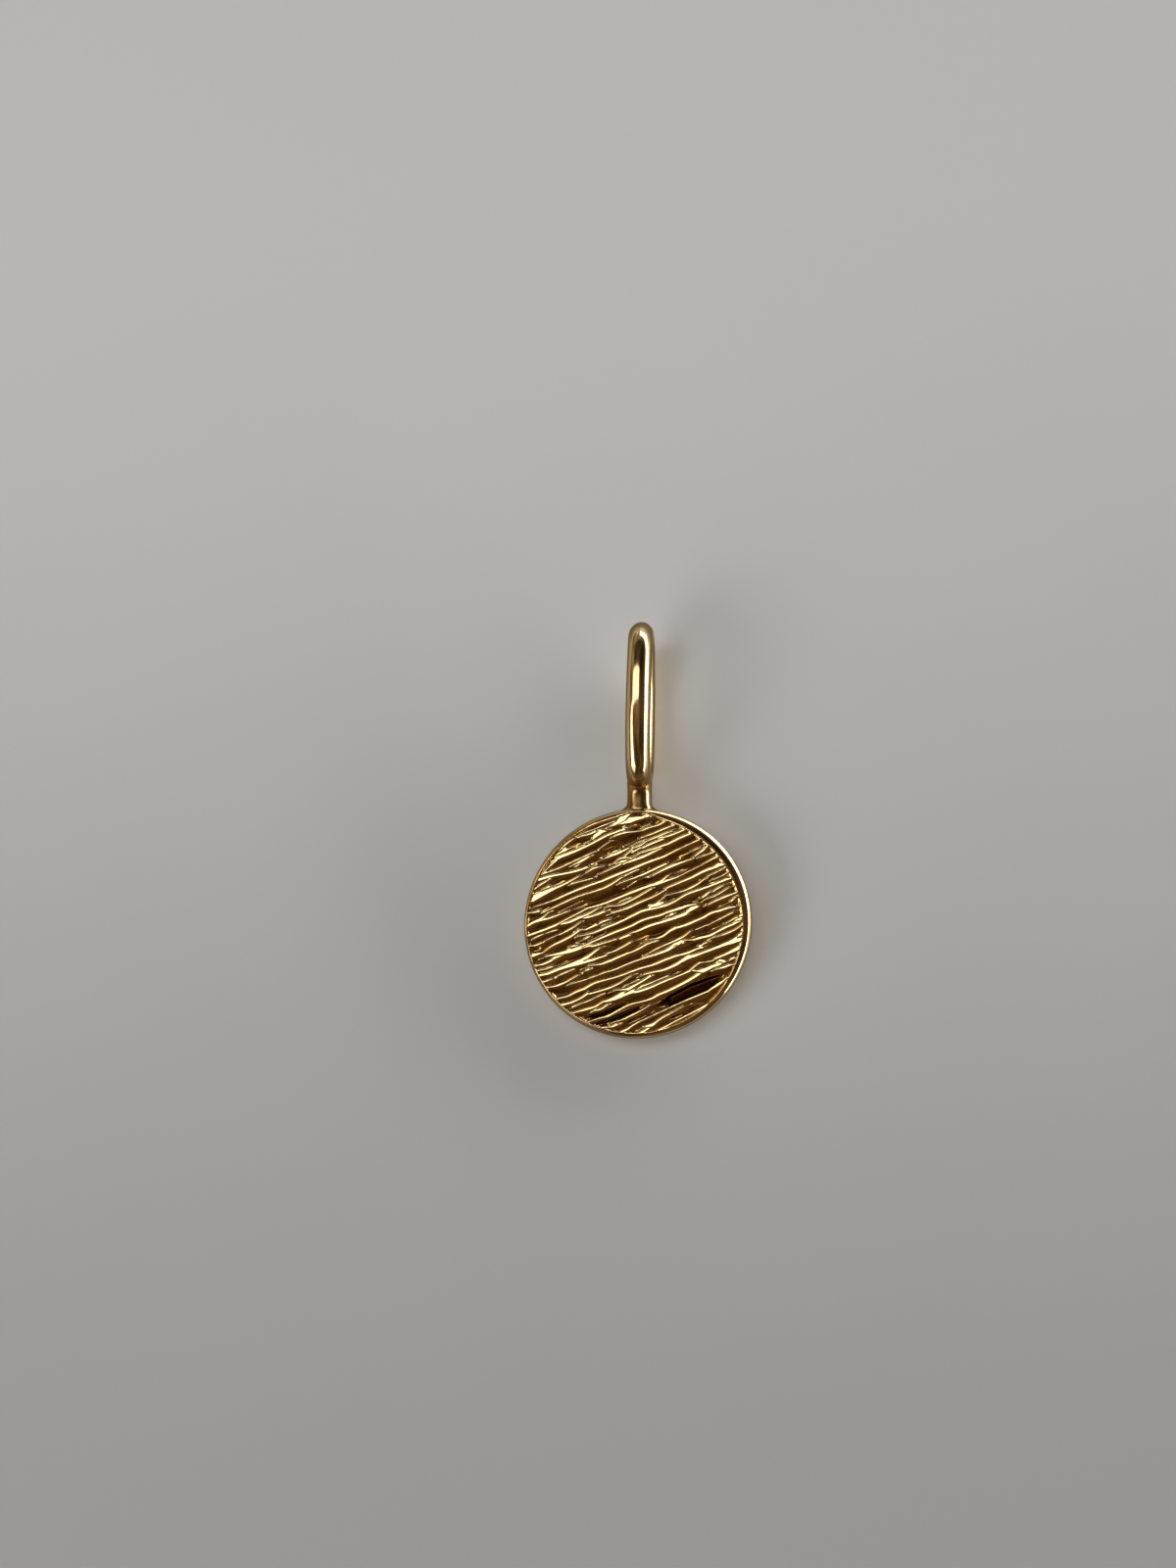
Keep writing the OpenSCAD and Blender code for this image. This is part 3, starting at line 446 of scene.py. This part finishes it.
def barkBlock():
    # a fine grid laid along the grain, pushed down between the ridges and made a block
    bm = bmesh.new()
    bmesh.ops.create_grid(bm, x_segments=face["along"], y_segments=face["across"],
                          size=face["half"])
    keep = charm["discRadius"] + face["margin"]
    outside = [f for f in bm.faces if f.calc_center_median().length > keep]
    bmesh.ops.delete(bm, geom=outside, context="FACES")
    bmesh.ops.rotate(bm, verts=bm.verts, cent=(0, 0, 0),
                     matrix=Matrix.Rotation(grainTurn, 3, "Z"))
    points = np.array([p.co for p in bm.verts])
    height, tops, scooped = reliefAt(points[:, 0], points[:, 1])
    toGrain = Matrix.Rotation(-grainTurn, 3, "Z")
    for p, share, smooth in zip(bm.verts, height, scooped):
        x, y = p.co.x * face["waverScale"], p.co.y * face["waverScale"]
        uneven = noise.noise(Vector((x, y, face["waverLayer"]))) * face["waver"]
        u, v = (toGrain @ p.co).xy
        marks = sum(part * noise.noise(Vector((u * along, v * across, layer)))
                    for along, across, layer, part in face["toolNoises"])
        marks *= face["tool"] * min((1 - share) * face["toolRise"], 1) * (1 - smooth)
        p.co.z = charm["discThickness"] - face["depth"] * (1 - share) + uneven + marks
    sides = [e for e in bm.edges if e.is_boundary]
    skirt = bmesh.ops.extrude_edge_only(bm, edges=sides)["geom"]
    for p in skirt:
        if isinstance(p, bmesh.types.BMVert):
            p.co.z = face["underside"]
    bottom = [e for e in skirt if isinstance(e, bmesh.types.BMEdge) and e.is_boundary]
    bmesh.ops.contextual_create(bm, geom=bottom)
    bmesh.ops.recalc_face_normals(bm, faces=bm.faces)
    return toMesh(bm, "bark")


def discBody():
    # a turned disc, its face edge wider rounded on the right than on the left
    radius, thick, back = charm["discRadius"], charm["discThickness"], rim["backRounding"]
    line = [(r, 0) for r in rim["backRings"]]
    for step in range(rim["backSteps"] + 1):
        a = math.radians(90 * step / rim["backSteps"])
        line.append((radius - back + back * math.sin(a), back - back * math.cos(a)))
    line.append((radius, (back + thick - rim["drop"]) / 2))
    line += [(radius - 1 + out, thick + 1 - down) for out, down in reversed(rim["shape"])]
    line += [(r, thick + rim["above"]) for r in rim["faceRings"]]
    bm = bmesh.new()
    turned(bm, [(r, 0, z) for r, z in line], (0, 0, 1), rim["turns"])
    field = (rim["faceRings"][0] + radius - 1) / 2
    for p in bm.verts:
        across = math.hypot(p.co.x, p.co.y)
        if p.co.z < thick or across < field:
            continue
        # the rounding was turned 1 mm wide and 1 mm high, and is now brought to size
        out, down = across - (radius - 1), thick + 1 - p.co.z
        angle = math.atan2(p.co.y, p.co.x)
        width, steep = float(roundingWidth(angle)), float(steepShare(angle))
        down += rim["steeper"][0] * steep * out * (1 - out)
        drop = rim["drop"] * (width / rim["widest"]) ** rim["dropPower"]
        drop *= 1 + rim["steeper"][1] * steep
        r = radius - width * (1 - out)
        p.co = Vector((r * math.cos(angle), r * math.sin(angle),
                       thick + rim["above"] - drop * down))
    bmesh.ops.recalc_face_normals(bm, faces=bm.faces)
    return toMesh(bm, "disc")


bail = {
    "wire": 0.6,            # half the wire's thickness
    "endRadius": 1.2,
    # the middles of an end arc and of a side arc are this far apart, and with the oval's own
    # middle they form a triangle of these proportions
    "arcGap": 8.3,
    "triangle": (7, 24, 25),
    "neckLength": 0.9,
    "round": 64,            # mesh steps round the wire
    "endSteps": 30,
    "sideSteps": 44,
    "flatAt": 46.0,         # degrees from straight up where the wire has a filed flat
    "flatHalf": 10.0,
    "flatShare": 0.85,
    "waver": 0.016,         # unevenness of the wire's thickness, as a share
    "waverScale": (0.8, 0.55),
    "waverLayer": 5,
    "sway": 0.03,           # how far the wire wanders sideways
    "swayScale": 0.5,
    "swayLayer": 1.7,
    "weld": 1e-3,
}


def bailWire():
    # a round section carried round two tight ends and two long sides
    gap, end = bail["arcGap"], bail["endRadius"]
    low, high, slope = bail["triangle"]
    endY, sideZ = gap * low / slope, gap * high / slope
    endTurn = math.atan2(high, low)
    sideTurn = math.pi - 2 * endTurn
    farEnd = charm["discRadius"] + bail["neckLength"] + endY + end + bail["wire"]
    middle = Vector((0, farEnd, charm["discThickness"] / 2))
    bm = bmesh.new()
    ring = bmesh.ops.create_circle(bm, segments=bail["round"], radius=bail["wire"])["verts"]
    # the first section stands where the lower side arc meets the far end
    place = Matrix.Translation(middle + Vector((0, endY, 0)))
    place = place @ Matrix.Rotation(-endTurn, 4, "X") @ Matrix.Translation((0, end, 0))
    bmesh.ops.transform(bm, matrix=place, verts=ring)
    section = ring + list({e for p in ring for e in p.link_edges})
    arcs = ((Vector((0, endY, 0)), 2 * endTurn, bail["endSteps"]),
            (Vector((0, 0, -sideZ)), sideTurn, bail["sideSteps"]),
            (Vector((0, -endY, 0)), 2 * endTurn, bail["endSteps"]),
            (Vector((0, 0, sideZ)), sideTurn, bail["sideSteps"]))
    for centre, turn, steps in arcs:
        section = bmesh.ops.spin(bm, geom=section, cent=middle + centre, axis=(1, 0, 0),
                                 angle=turn, steps=steps)["geom_last"]
    bmesh.ops.remove_doubles(bm, verts=bm.verts, dist=bail["weld"])
    for p in bm.verts:
        # back to the wire's own section: out from the oval's middle, and sideways
        y, z = p.co.y - middle.y, p.co.z - middle.z
        if abs(z) * low < (abs(y) - endY) * high:
            centre, r = Vector((math.copysign(endY, y), 0)), end
        else:
            centre, r = Vector((0, -math.copysign(sideZ, z))), gap + end
        out = Vector((y, z)) - centre
        away, out = out.length - r, out.normalized()
        around = math.degrees(math.atan2(abs(p.co.x), away))
        size = 1.0
        for flat in (bail["flatAt"], 180 - bail["flatAt"]):
            off = abs(around - flat)
            if off < bail["flatHalf"]:
                chord = math.cos(math.radians(bail["flatHalf"])) / math.cos(math.radians(off))
                size = 1 + bail["flatShare"] * (chord - 1)
        scaleX, scaleY = bail["waverScale"]
        size += bail["waver"] * noise.noise(Vector((p.co.x * scaleX + bail["waverLayer"],
                                                    p.co.y * scaleY, p.co.z * scaleY)))
        flatPlace = centre + out * (r + away * size)
        sway = bail["sway"] * noise.noise(Vector((bail["swayLayer"], y * bail["swayScale"],
                                                  z * bail["swayScale"])))
        p.co = Vector((p.co.x * size + sway, flatPlace.x + middle.y, flatPlace.y + middle.z))
    bmesh.ops.recalc_face_normals(bm, faces=bm.faces)
    return toMesh(bm, "bail")


neck = {
    "turns": 56,
    "keepRound": 8,         # how soon from its middle outwards it is thicker than the wire
    # height above the disc's outline, half the width across and half the thickness there
    "rows": ((-0.55, 0.5, 0.5), (-0.3, 0.95, 0.64), (-0.12, 1.02, 0.62), (-0.06, 0.98, 0.61),
             (-0.03, 0.93, 0.605), (0.02, 0.84, 0.6), (0.07, 0.75, 0.6), (0.11, 0.7, 0.6),
             (0.16, 0.66, 0.6), (0.22, 0.63, 0.6), (0.32, 0.605, 0.6), (0.45, 0.6, 0.6),
             (0.6, 0.6, 0.6), (0.75, 0.6, 0.605), (0.84, 0.6, 0.62), (0.91, 0.6, 0.65),
             (0.97, 0.6, 0.69), (1.03, 0.6, 0.735), (1.09, 0.6, 0.78), (1.2, 0.6, 0.82),
             (1.35, 0.6, 0.82), (1.5, 0.5, 0.7), (1.6, 0.4, 0.6)),
}


def neckStem():
    # turned as a plain cylinder, then each row of points is brought to its width and thickness
    heights, halfWide, halfThick = zip(*neck["rows"])
    line = [(0, heights[0]), *((1, h) for h in heights), (0, heights[-1])]
    bm = bmesh.new()
    turned(bm, [(r, charm["discRadius"] + h, 0) for r, h in line], (0, 1, 0), neck["turns"])
    for p in bm.verts:
        h = p.co.y - charm["discRadius"]
        wide, thick = np.interp(h, heights, halfWide), np.interp(h, heights, halfThick)
        # where it is thicker than the wire, its round top stays that of the wire
        side = min(max(p.co.z * neck["keepRound"], -1), 1)
        more = max(thick - bail["wire"], 0) * side
        p.co.x *= wide
        p.co.z = p.co.z * min(thick, bail["wire"]) + more + charm["discThickness"] / 2
    bmesh.ops.recalc_face_normals(bm, faces=bm.faces)
    return toMesh(bm, "neck")


def outOfRound(mesh):
    # the outline is pressed a little oval, the field inside it is left as it is
    start, end = rim["ovalFrom"]
    for p in mesh.vertices:
        share = min(max((math.hypot(p.co.x, p.co.y) - start) / (end - start), 0), 1)
        turn = math.atan2(p.co.y, p.co.x) - math.radians(rim["ovalTurn"])
        size = 1 + rim["oval"] * share ** 2 * math.cos(2 * turn)
        p.co.x *= size
        p.co.y *= size


solder = {
    # the heights above the disc's outline between which each joint is smoothed
    "joints": ((-0.1, 0.16), (0.86, 1.25)),
    "half": 1.3,
    "rounds": 3,
    "factor": 0.5,
}


def softenJoints(made):
    # the soldered joints run into each other without a hard line
    bm = bmesh.new()
    bm.from_mesh(made.data)
    radius = charm["discRadius"]
    for low, high in solder["joints"]:
        near = [p for p in bm.verts if radius + low < p.co.y < radius + high
                and abs(p.co.x) < solder["half"]]
        for turn in range(solder["rounds"]):
            bmesh.ops.smooth_vert(bm, verts=near, factor=solder["factor"],
                                  use_axis_x=True, use_axis_y=True, use_axis_z=True)
    bm.to_mesh(made.data)
    bm.free()


piece = combine(discBody(), barkBlock(), "INTERSECT")
print("disc with its bark face:", len(piece.data.polygons), "faces")
outOfRound(piece.data)
piece = combine(piece, neckStem(), "UNION")
piece = combine(piece, bailWire(), "UNION")
softenJoints(piece)
print("bail and neck joined on:", len(piece.data.polygons), "faces")

paintedShadeAndStain = {
    # each pair says where this kind of painted shade or stain begins and where it is full
    "ridgeTop": (0.3, 0.6),         # shares of ridge top
    # painted shade, fuller in the deeper flutes
    "deepFluteShade": (0.35, -0.75),     # heights on the face, in depths
    # painted black shade in the scooped hollows
    "blackShade": (0.1, -0.5),
    "valley": (0.5, 0.35),
    "valleyBend": (0.06, 0.12),     # how sharply the face bends up on both sides
    "steepFlank": (0.36, 0.48),     # how far it leans towards the upper left
    "tiltedFace": (0.8, 0.7),       # how far it faces up, 1 is straight up
    "shoulder": (0.72, 0.57),
    "wall": (0.04, 0.28),           # the side walls are left without the painted shade
    "stainFoot": (-0.05, 0.10),     # heights above the disc's outline
    "stainTop": (2.4, 1.2),
    "stainRight": (0.72, 0.57),     # how far it faces right; there the joint is left without the painted shade and stays bright
    "flankShare": 0.8,
    "steepRim": 0.25,               # how much earlier the rim's steeper edge counts as shoulder
    # the face is all that is less than so many depths deep and faces up more than this
    "faceDepths": 4,
    "faceUp": 0.2,
}


def paintedShadeAndStainOf(points, normals):
    # how much each point belongs to the bark field, to its flat tops and to each kind of painted
    # shade and stain
    x, y, z = points.T
    right, up = normals[:, 0], normals[:, 2]
    leaning = normals[:, 1] * math.cos(grainTurn) - right * math.sin(grainTurn)
    angle = np.arctan2(y, x)
    height, tops, scooped = reliefAt(x, y)
    stepX, stepY = -face["valley"] * math.sin(grainTurn), face["valley"] * math.cos(grainTurn)
    above, below = reliefAt(x + stepX, y + stepY)[0], reliefAt(x - stepX, y - stepY)[0]
    valley = ramp(above + below - 2 * height, *paintedShadeAndStain["valleyBend"])
    valley = valley * ramp(height, *paintedShadeAndStain["valley"])
    onFace = z > charm["discThickness"] - face["depth"] * paintedShadeAndStain["faceDepths"]
    onFace = onFace & (np.hypot(x, y) < charm["discRadius"] - roundingWidth(angle))
    onFace = onFace & (up > paintedShadeAndStain["faceUp"])
    flank = np.maximum(ramp(leaning, *paintedShadeAndStain["steepFlank"]), ramp(up, *paintedShadeAndStain["tiltedFace"]))
    shoulder = ramp(up - paintedShadeAndStain["steepRim"] * steepShare(angle), *paintedShadeAndStain["shoulder"])
    high = y - charm["discRadius"]
    stainAndShade = ramp(high, *paintedShadeAndStain["stainFoot"]) * ramp(high, *paintedShadeAndStain["stainTop"])
    return {
        "ridgeTop": ramp(tops, *paintedShadeAndStain["ridgeTop"]) * onFace,
        "barkField": 1.0 * onFace,
        "deepFluteShade": ramp(height, *paintedShadeAndStain["deepFluteShade"]) * onFace,
        # painted shade: the shoulders of the rim and the wire and the steep flanks of the face
        # are painted darker, and are also made a little rougher than the rest
        "dullAndShadedSide": np.where(onFace, flank * paintedShadeAndStain["flankShare"],
                             shoulder * ramp(up, *paintedShadeAndStain["wall"])),
        "paintedBlackShade": np.maximum(scooped * ramp(height, *paintedShadeAndStain["blackShade"]), valley) * onFace,
        # the joint is painted darker: a heat stain of the soldering and painted shade, left off
        # where it faces right
        "heatStainAndShade": stainAndShade * ramp(right, *paintedShadeAndStain["stainRight"]),
    }


shadeAndStain = paintedShadeAndStainOf(np.array([p.co for p in piece.data.vertices]),
              np.array([n.vector for n in piece.data.vertex_normals]))
for name, values in shadeAndStain.items():
    made = piece.data.attributes.new(name, "FLOAT", "POINT")
    made.data.foreach_set("value", values.astype(np.float32))

lay = Matrix.Translation((0, -charm["restBack"], charm["restLift"]))
lay = lay @ Matrix.Rotation(math.radians(charm["restTilt"]), 4, "X")
piece.data.transform(Matrix.Scale(charm["millimetre"], 4) @ lay)
piece.data.polygons.foreach_set("use_smooth", [True] * len(piece.data.polygons))
piece.data.update()
piece.name = piece.data.name = "goldCharm"
print("laid down on the floor")


class Tone:
    # a socket that can be added to, multiplied and so on like a number
    def __init__(self, tree, socket):
        self.tree, self.socket = tree, socket

    def node(self, kind, settings=None, inputs=None, out=0):
        made = self.tree.nodes.new("ShaderNode" + kind)
        for name, value in (settings or {}).items():
            setattr(made, name, value)
        for name, value in (inputs or {}).items():
            if isinstance(value, Tone):
                self.tree.links.new(value.socket, made.inputs[name])
            else:
                made.inputs[name].default_value = value
        return Tone(self.tree, made.outputs[out] if made.outputs else None)

    def math(self, operation, *values):
        return self.node("Math", {"operation": operation}, dict(enumerate(values)))

    def __add__(self, other):
        return self.math("ADD", self, other)

    def __sub__(self, other):
        return self.math("SUBTRACT", self, other)

    def __rsub__(self, other):
        return self.math("SUBTRACT", other, self)

    def __mul__(self, other):
        return self.math("MULTIPLY", self, other)

    __radd__, __rmul__ = __add__, __mul__

    def between(self, low, high):
        # 0 below low and 1 above high, smooth in the middle
        return self.node("MapRange", {"interpolation_type": "SMOOTHSTEP"},
                         {"Value": self, "From Min": low, "From Max": high})

    def mixed(self, first, second):
        # first where this is 0, second where it is 1
        return self.node("Mix", {"data_type": "RGBA"}, {0: self, 6: first, 7: second}, 2)

    def scaled(self, size):
        return self.node("Mapping", {}, {"Vector": self, "Scale": size})

    def uneven(self, scale, detail, roughness):
        return self.node("TexNoise", {}, {"Vector": self.scaled(scale), "Scale": 1.0,
                                          "Detail": detail, "Roughness": roughness})


def emptyShader(owner):
    owner.use_nodes = True
    owner.node_tree.nodes.clear()
    return Tone(owner.node_tree, None)


gold = {
    "tops": (1.0, 0.77, 0.39, 1),
    # painted shade: the flute colours are darker and redder than the plain gold
    "flutes": (0.95, 0.54, 0.15, 1),
    "deep": (0.7, 0.32, 0.05, 1),
    "shaded": (0.5, 0.22, 0.04, 1),
    "plain": (1.0, 0.74, 0.38, 1),
    "warmer": (0.98, 0.64, 0.29, 1),
    # painted shade on the shoulders of the rim and the wire and on the steep flanks
    "sides": (0.33, 0.25, 0.155, 1),
    # heat stain and painted shade on the joint
    "stainedAndShaded": (0.32, 0.17, 0.06, 1),
    # painted black shade in the scooped hollows and at the foot of the steep flanks
    "blackShade": (0.09, 0.025, 0.015, 1),
    "grazing": (0.6, 0.5, 0.36, 1),
    # how much of the colour each kind takes
    "patchShare": 0.8,
    "streakShare": 0.3,
    "sideShare": 0.9,
    "stainShare": (0.65, 0.4),      # at the least, and how much more in the clouds
    "blackShare": 0.92,
    # noise: its scale by the millimetre along x, y and z, its detail and its roughness. Streaks
    # and patches are turned with the grain, and the drawn scratches follow the wire.
    "streaks": ((0.8, 13, 4), 3.0, 0.6),
    "patches": ((0.45, 2.6, 2), 3.0, 0.55),
    "drawn": ((9, 0.7, 9), 3.0, 0.65),
    "fine": ((16, 16, 16), 2.0, 0.5),
    "clouds": ((0.9, 0.9, 0.9), 2.0, 0.5),
    # the value of the noise from which each sets in, and where it is full
    "warmFrom": (0.45, 0.75),
    "patchFrom": (0.42, 0.68),
    "streakFrom": (0.5, 0.8),
    "drawnFrom": (0.4, 0.8),
    "fineFrom": (0.45, 0.8),
    "roughness": 0.09,
    "topRoughness": 0.13,
    # how much rougher each of these is than the plain metal
    "drawnRough": 0.05,
    "fineRough": 0.04,
    "fluteRough": 0.06,
    "sideRough": 0.08,
    "stainRough": 0.12,
    "streakDepth": 0.000004,
    "scratchDepth": 0.0000012,
    # height of each kind of scratch, as a share of that depth
    "drawnHeight": 1.5,
    "fineHeight": 0.4,
}


def goldMaterial():
    material = bpy.data.materials.new("polishedGold")
    start = emptyShader(material)
    place = start.node("TexCoord", out=3)
    millimetres = (1 / charm["millimetre"],) * 3
    grain = start.node("Mapping", {}, {"Vector": place, "Rotation": (0, 0, -grainTurn),
                                       "Scale": millimetres})
    straight = place.scaled(millimetres)
    ridgeTop, barkField, deep, side, stainAndShade, blackShade = (
        start.node("Attribute", {"attribute_name": name}, out=2)
        for name in ("ridgeTop", "barkField", "deepFluteShade", "dullAndShadedSide", "heatStainAndShade", "paintedBlackShade"))
    flute = barkField * (1 - ridgeTop)

    # lengthwise tool marks in the flutes, fine scratches elsewhere, cloudy unevenness all over
    streaks, patches = grain.uneven(*gold["streaks"]), grain.uneven(*gold["patches"])
    drawn, fine, clouds = (straight.uneven(*gold[name]) for name in ("drawn", "fine", "clouds"))

    # painted shade: the flutes are darker and redder the deeper they are, and unevenly so along
    # the grain, while the ridge tops keep the bright gold
    colour = flute.mixed(gold["plain"], gold["flutes"])
    colour = clouds.between(*gold["warmFrom"]).mixed(colour, gold["warmer"])
    colour = (deep * flute).mixed(colour, gold["deep"])
    shaded = patches.between(*gold["patchFrom"]) * flute * gold["patchShare"]
    shaded = shaded + streaks.between(*gold["streakFrom"]) * flute * gold["streakShare"]
    colour = shaded.mixed(colour, gold["shaded"])
    colour = ridgeTop.mixed(colour, gold["tops"])
    # painted shade on the shoulders of the rim and the wire and on the steep flanks of the face
    colour = (side * gold["sideShare"]).mixed(colour, gold["sides"])
    least, more = gold["stainShare"]
    # the joint: partly a heat stain, partly painted shade
    colour = (stainAndShade * (clouds * more + least)).mixed(colour, gold["stainedAndShaded"])
    # painted black shade in the scooped hollows and at the foot of the steep flanks
    colour = (blackShade * gold["blackShare"]).mixed(colour, gold["blackShade"])
    roughness = gold["roughness"] + drawn.between(*gold["drawnFrom"]) * gold["drawnRough"]
    roughness = roughness + fine.between(*gold["fineFrom"]) * gold["fineRough"]
    roughness = roughness + ridgeTop * (gold["topRoughness"] - gold["roughness"])
    roughness = roughness + flute * streaks * gold["fluteRough"]
    roughness = roughness + side * gold["sideRough"] + stainAndShade * gold["stainRough"]
    marks = start.node("Bump", {}, {"Strength": 1.0, "Distance": gold["streakDepth"],
                                    "Height": streaks * flute})
    scratches = drawn * (1 - barkField) * gold["drawnHeight"] + fine * gold["fineHeight"]
    normal = start.node("Bump", {}, {"Strength": 1.0, "Distance": gold["scratchDepth"],
                                     "Height": scratches, "Normal": marks})
    surface = start.node("BsdfPrincipled", {}, {
        "Base Color": colour, "Metallic": 1.0, "Roughness": roughness,
        "Specular Tint": gold["grazing"], "Normal": normal})
    start.node("OutputMaterial", {}, {"Surface": surface})
    return material


piece.data.materials.clear()
piece.data.materials.append(goldMaterial())
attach(piece, "root")
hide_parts("charm")
print("gold polished")

table = {
    "size": 1.6,
    "steps": 4,
    # painted light: the floor is painted darker at the front and lighter towards the back, where
    # more light falls
    "near": (0.57, 0.59, 0.615, 1),
    "far": (0.84, 0.87, 0.905, 1),
    "slope": 14,            # how fast the darker near colour turns into the lighter far one, per metre, a painted falloff of light
    "middle": 0.45,
    "clouds": ((60, 60, 60), 3.0, 0.5),
    "cloudShare": 0.1,
    "grit": ((2600, 2600, 2600), 2.0, 0.5),
    "gritStrength": 0.15,
    "gritDepth": 0.00002,
    "roughness": 0.42,
}


def floorTop():
    bm = bmesh.new()
    bmesh.ops.create_grid(bm, x_segments=table["steps"], y_segments=table["steps"],
                          size=table["size"] / 2)
    made = toMesh(bm, "floor")
    material = bpy.data.materials.new("paleTable")
    start = emptyShader(material)
    place = start.node("TexCoord", out=3)
    along = start.node("SeparateXYZ", {}, {"Vector": place}, 1)
    clouds = place.uneven(*table["clouds"]) * table["cloudShare"]
    paintedLightFalloff = (along * table["slope"] + clouds + table["middle"]).between(0, 1)
    bump = start.node("Bump", {}, {"Strength": table["gritStrength"],
                                   "Distance": table["gritDepth"],
                                   "Height": place.uneven(*table["grit"])})
    surface = start.node("BsdfPrincipled", {}, {
        "Base Color": paintedLightFalloff.mixed(table["near"], table["far"]),
        "Roughness": table["roughness"], "Normal": bump})
    start.node("OutputMaterial", {}, {"Surface": surface})
    made.data.materials.append(material)
    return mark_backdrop(made)


floorTop()

# Soft lights. Columns: where each stands, its width and height in metres, how many degrees it
# is turned about its own line, how bright its surface is (1 shows as white) and its colour.
lights = {
    "leftWindow": ((-0.48, -0.17, 0.34), 0.40, 0.22, 0, 2.2, (1, 0.99, 0.95)),
    "rightBand": ((0.6, 0.08, 0.09), 1.3, 0.16, 0, 5.0, (1, 1, 1)),
    "leftFront": ((-0.39, -0.37, 0.31), 0.36, 0.3, 0, 1.8, (1, 1, 1)),
    "overhead": ((-0.21, 0.12, 0.54), 0.2, 0.6, 30, 1.85, (1, 0.99, 0.96)),
    "rightBack": ((0.24, 0.42, 0.12), 0.6, 0.16, 0, 2.6, (1, 1, 1)),
}
for name, (at, wide, high, turn, bright, colour) in lights.items():
    lamp = bpy.data.lights.new(name, "AREA")
    lamp.shape, lamp.size, lamp.size_y = "RECTANGLE", wide, high
    lamp.energy = bright * math.pi * wide * high
    lamp.color = colour
    stand = bpy.data.objects.new(name, lamp)
    bpy.context.scene.collection.objects.link(stand)
    stand.location = at
    aimed = (-Vector(at)).to_track_quat("-Z", "Y").to_matrix()
    stand.rotation_euler = (aimed @ Matrix.Rotation(math.radians(turn), 3, "Z")).to_euler()
    stand.visible_camera = False

room = {
    "levelFront": (0.1, 0.08, 0.07, 1),
    "levelBehind": (0.32, 0.33, 0.35, 1),
    "levelLeft": (0.1, 0.085, 0.065, 1),
    "front": (0.06, 0.041, 0.022, 1),
    "behind": (0.03, 0.02, 0.014, 1),
    "behindLow": (0.17, 0.145, 0.105, 1),
    "overhead": (0.13, 0.095, 0.055, 1),
    # from where to where each turns into the next, going up, to the back or to the left
    "levelTo": (0.1, 0.4),
    "lowTo": (0.5, 0.68),
    "overheadFrom": (0.9, 0.98),
    "frontTo": (-0.4, 0.4),
    "levelFrontTo": (-0.7, 0.1),
    "levelLeftFrom": (0.2, 0.7),
    # things standing about in the room, as soft light and dark places
    "clutter": ((3.2, 3.2, 3.2), 3.0, 0.5),
    "clutterFrom": (0.35, 0.65),
    "dim": (0.45, 0.42, 0.4, 1),
    "lit": (1.7, 1.7, 1.7, 1),
}
world = bpy.data.worlds.new("room")
bpy.context.scene.world = world
start = emptyShader(world)
towards = start.node("TexCoord", out=0)
aside, back, up = (start.node("SeparateXYZ", {}, {"Vector": towards}, i) for i in range(3))
rear = up.between(*room["lowTo"]).mixed(room["behindLow"], room["behind"])
colour = back.between(*room["frontTo"]).mixed(room["front"], rear)
level = back.between(*room["levelFrontTo"]).mixed(room["levelFront"], room["levelBehind"])
level = (0 - aside).between(*room["levelLeftFrom"]).mixed(level, room["levelLeft"])
colour = up.between(*room["levelTo"]).mixed(level, colour)
colour = up.between(*room["overheadFrom"]).mixed(colour, room["overhead"])
clutter = towards.uneven(*room["clutter"]).between(*room["clutterFrom"])
shade = clutter.mixed(room["dim"], room["lit"])
colour = start.node("Mix", {"data_type": "RGBA", "blend_type": "MULTIPLY"},
                    {0: 1.0, 6: colour, 7: shade}, 2)
sky = start.node("Background", {}, {"Color": colour, "Strength": 1.0})
start.node("OutputWorld", {}, {"Surface": sky})
print("lights and floor set")

view = {
    "place": (0.00888216, -0.01473927, 0.11436940),
    "aim": (-0.00271370, 0.00244541, 0.0),
    "turn": 1.22689,        # degrees the camera is turned about its own line of sight
    "lens": 54.0,
    "sensor": 36.0,
    "nearest": 0.005,
    "farthest": 20.0,
    "bounces": 8,           # how often the gold mirrors itself
}
camera = bpy.data.objects.new("camera", bpy.data.cameras.new("camera"))
bpy.context.scene.collection.objects.link(camera)
camera.data.lens, camera.data.sensor_width = view["lens"], view["sensor"]
camera.data.clip_start, camera.data.clip_end = view["nearest"], view["farthest"]
camera.location = view["place"]
look = Vector(view["aim"]) - Vector(view["place"])
right = look.cross(Vector((0, 1, 0))).normalized()
upward = right.cross(look).normalized()
stance = Matrix((right, upward, -look.normalized())).transposed()
camera.rotation_euler = (stance @ Matrix.Rotation(math.radians(view["turn"]), 3, "Z")).to_euler()
bpy.context.scene.camera = camera
bpy.context.scene.view_settings.view_transform = "Standard"
bpy.context.scene.cycles.glossy_bounces = view["bounces"]
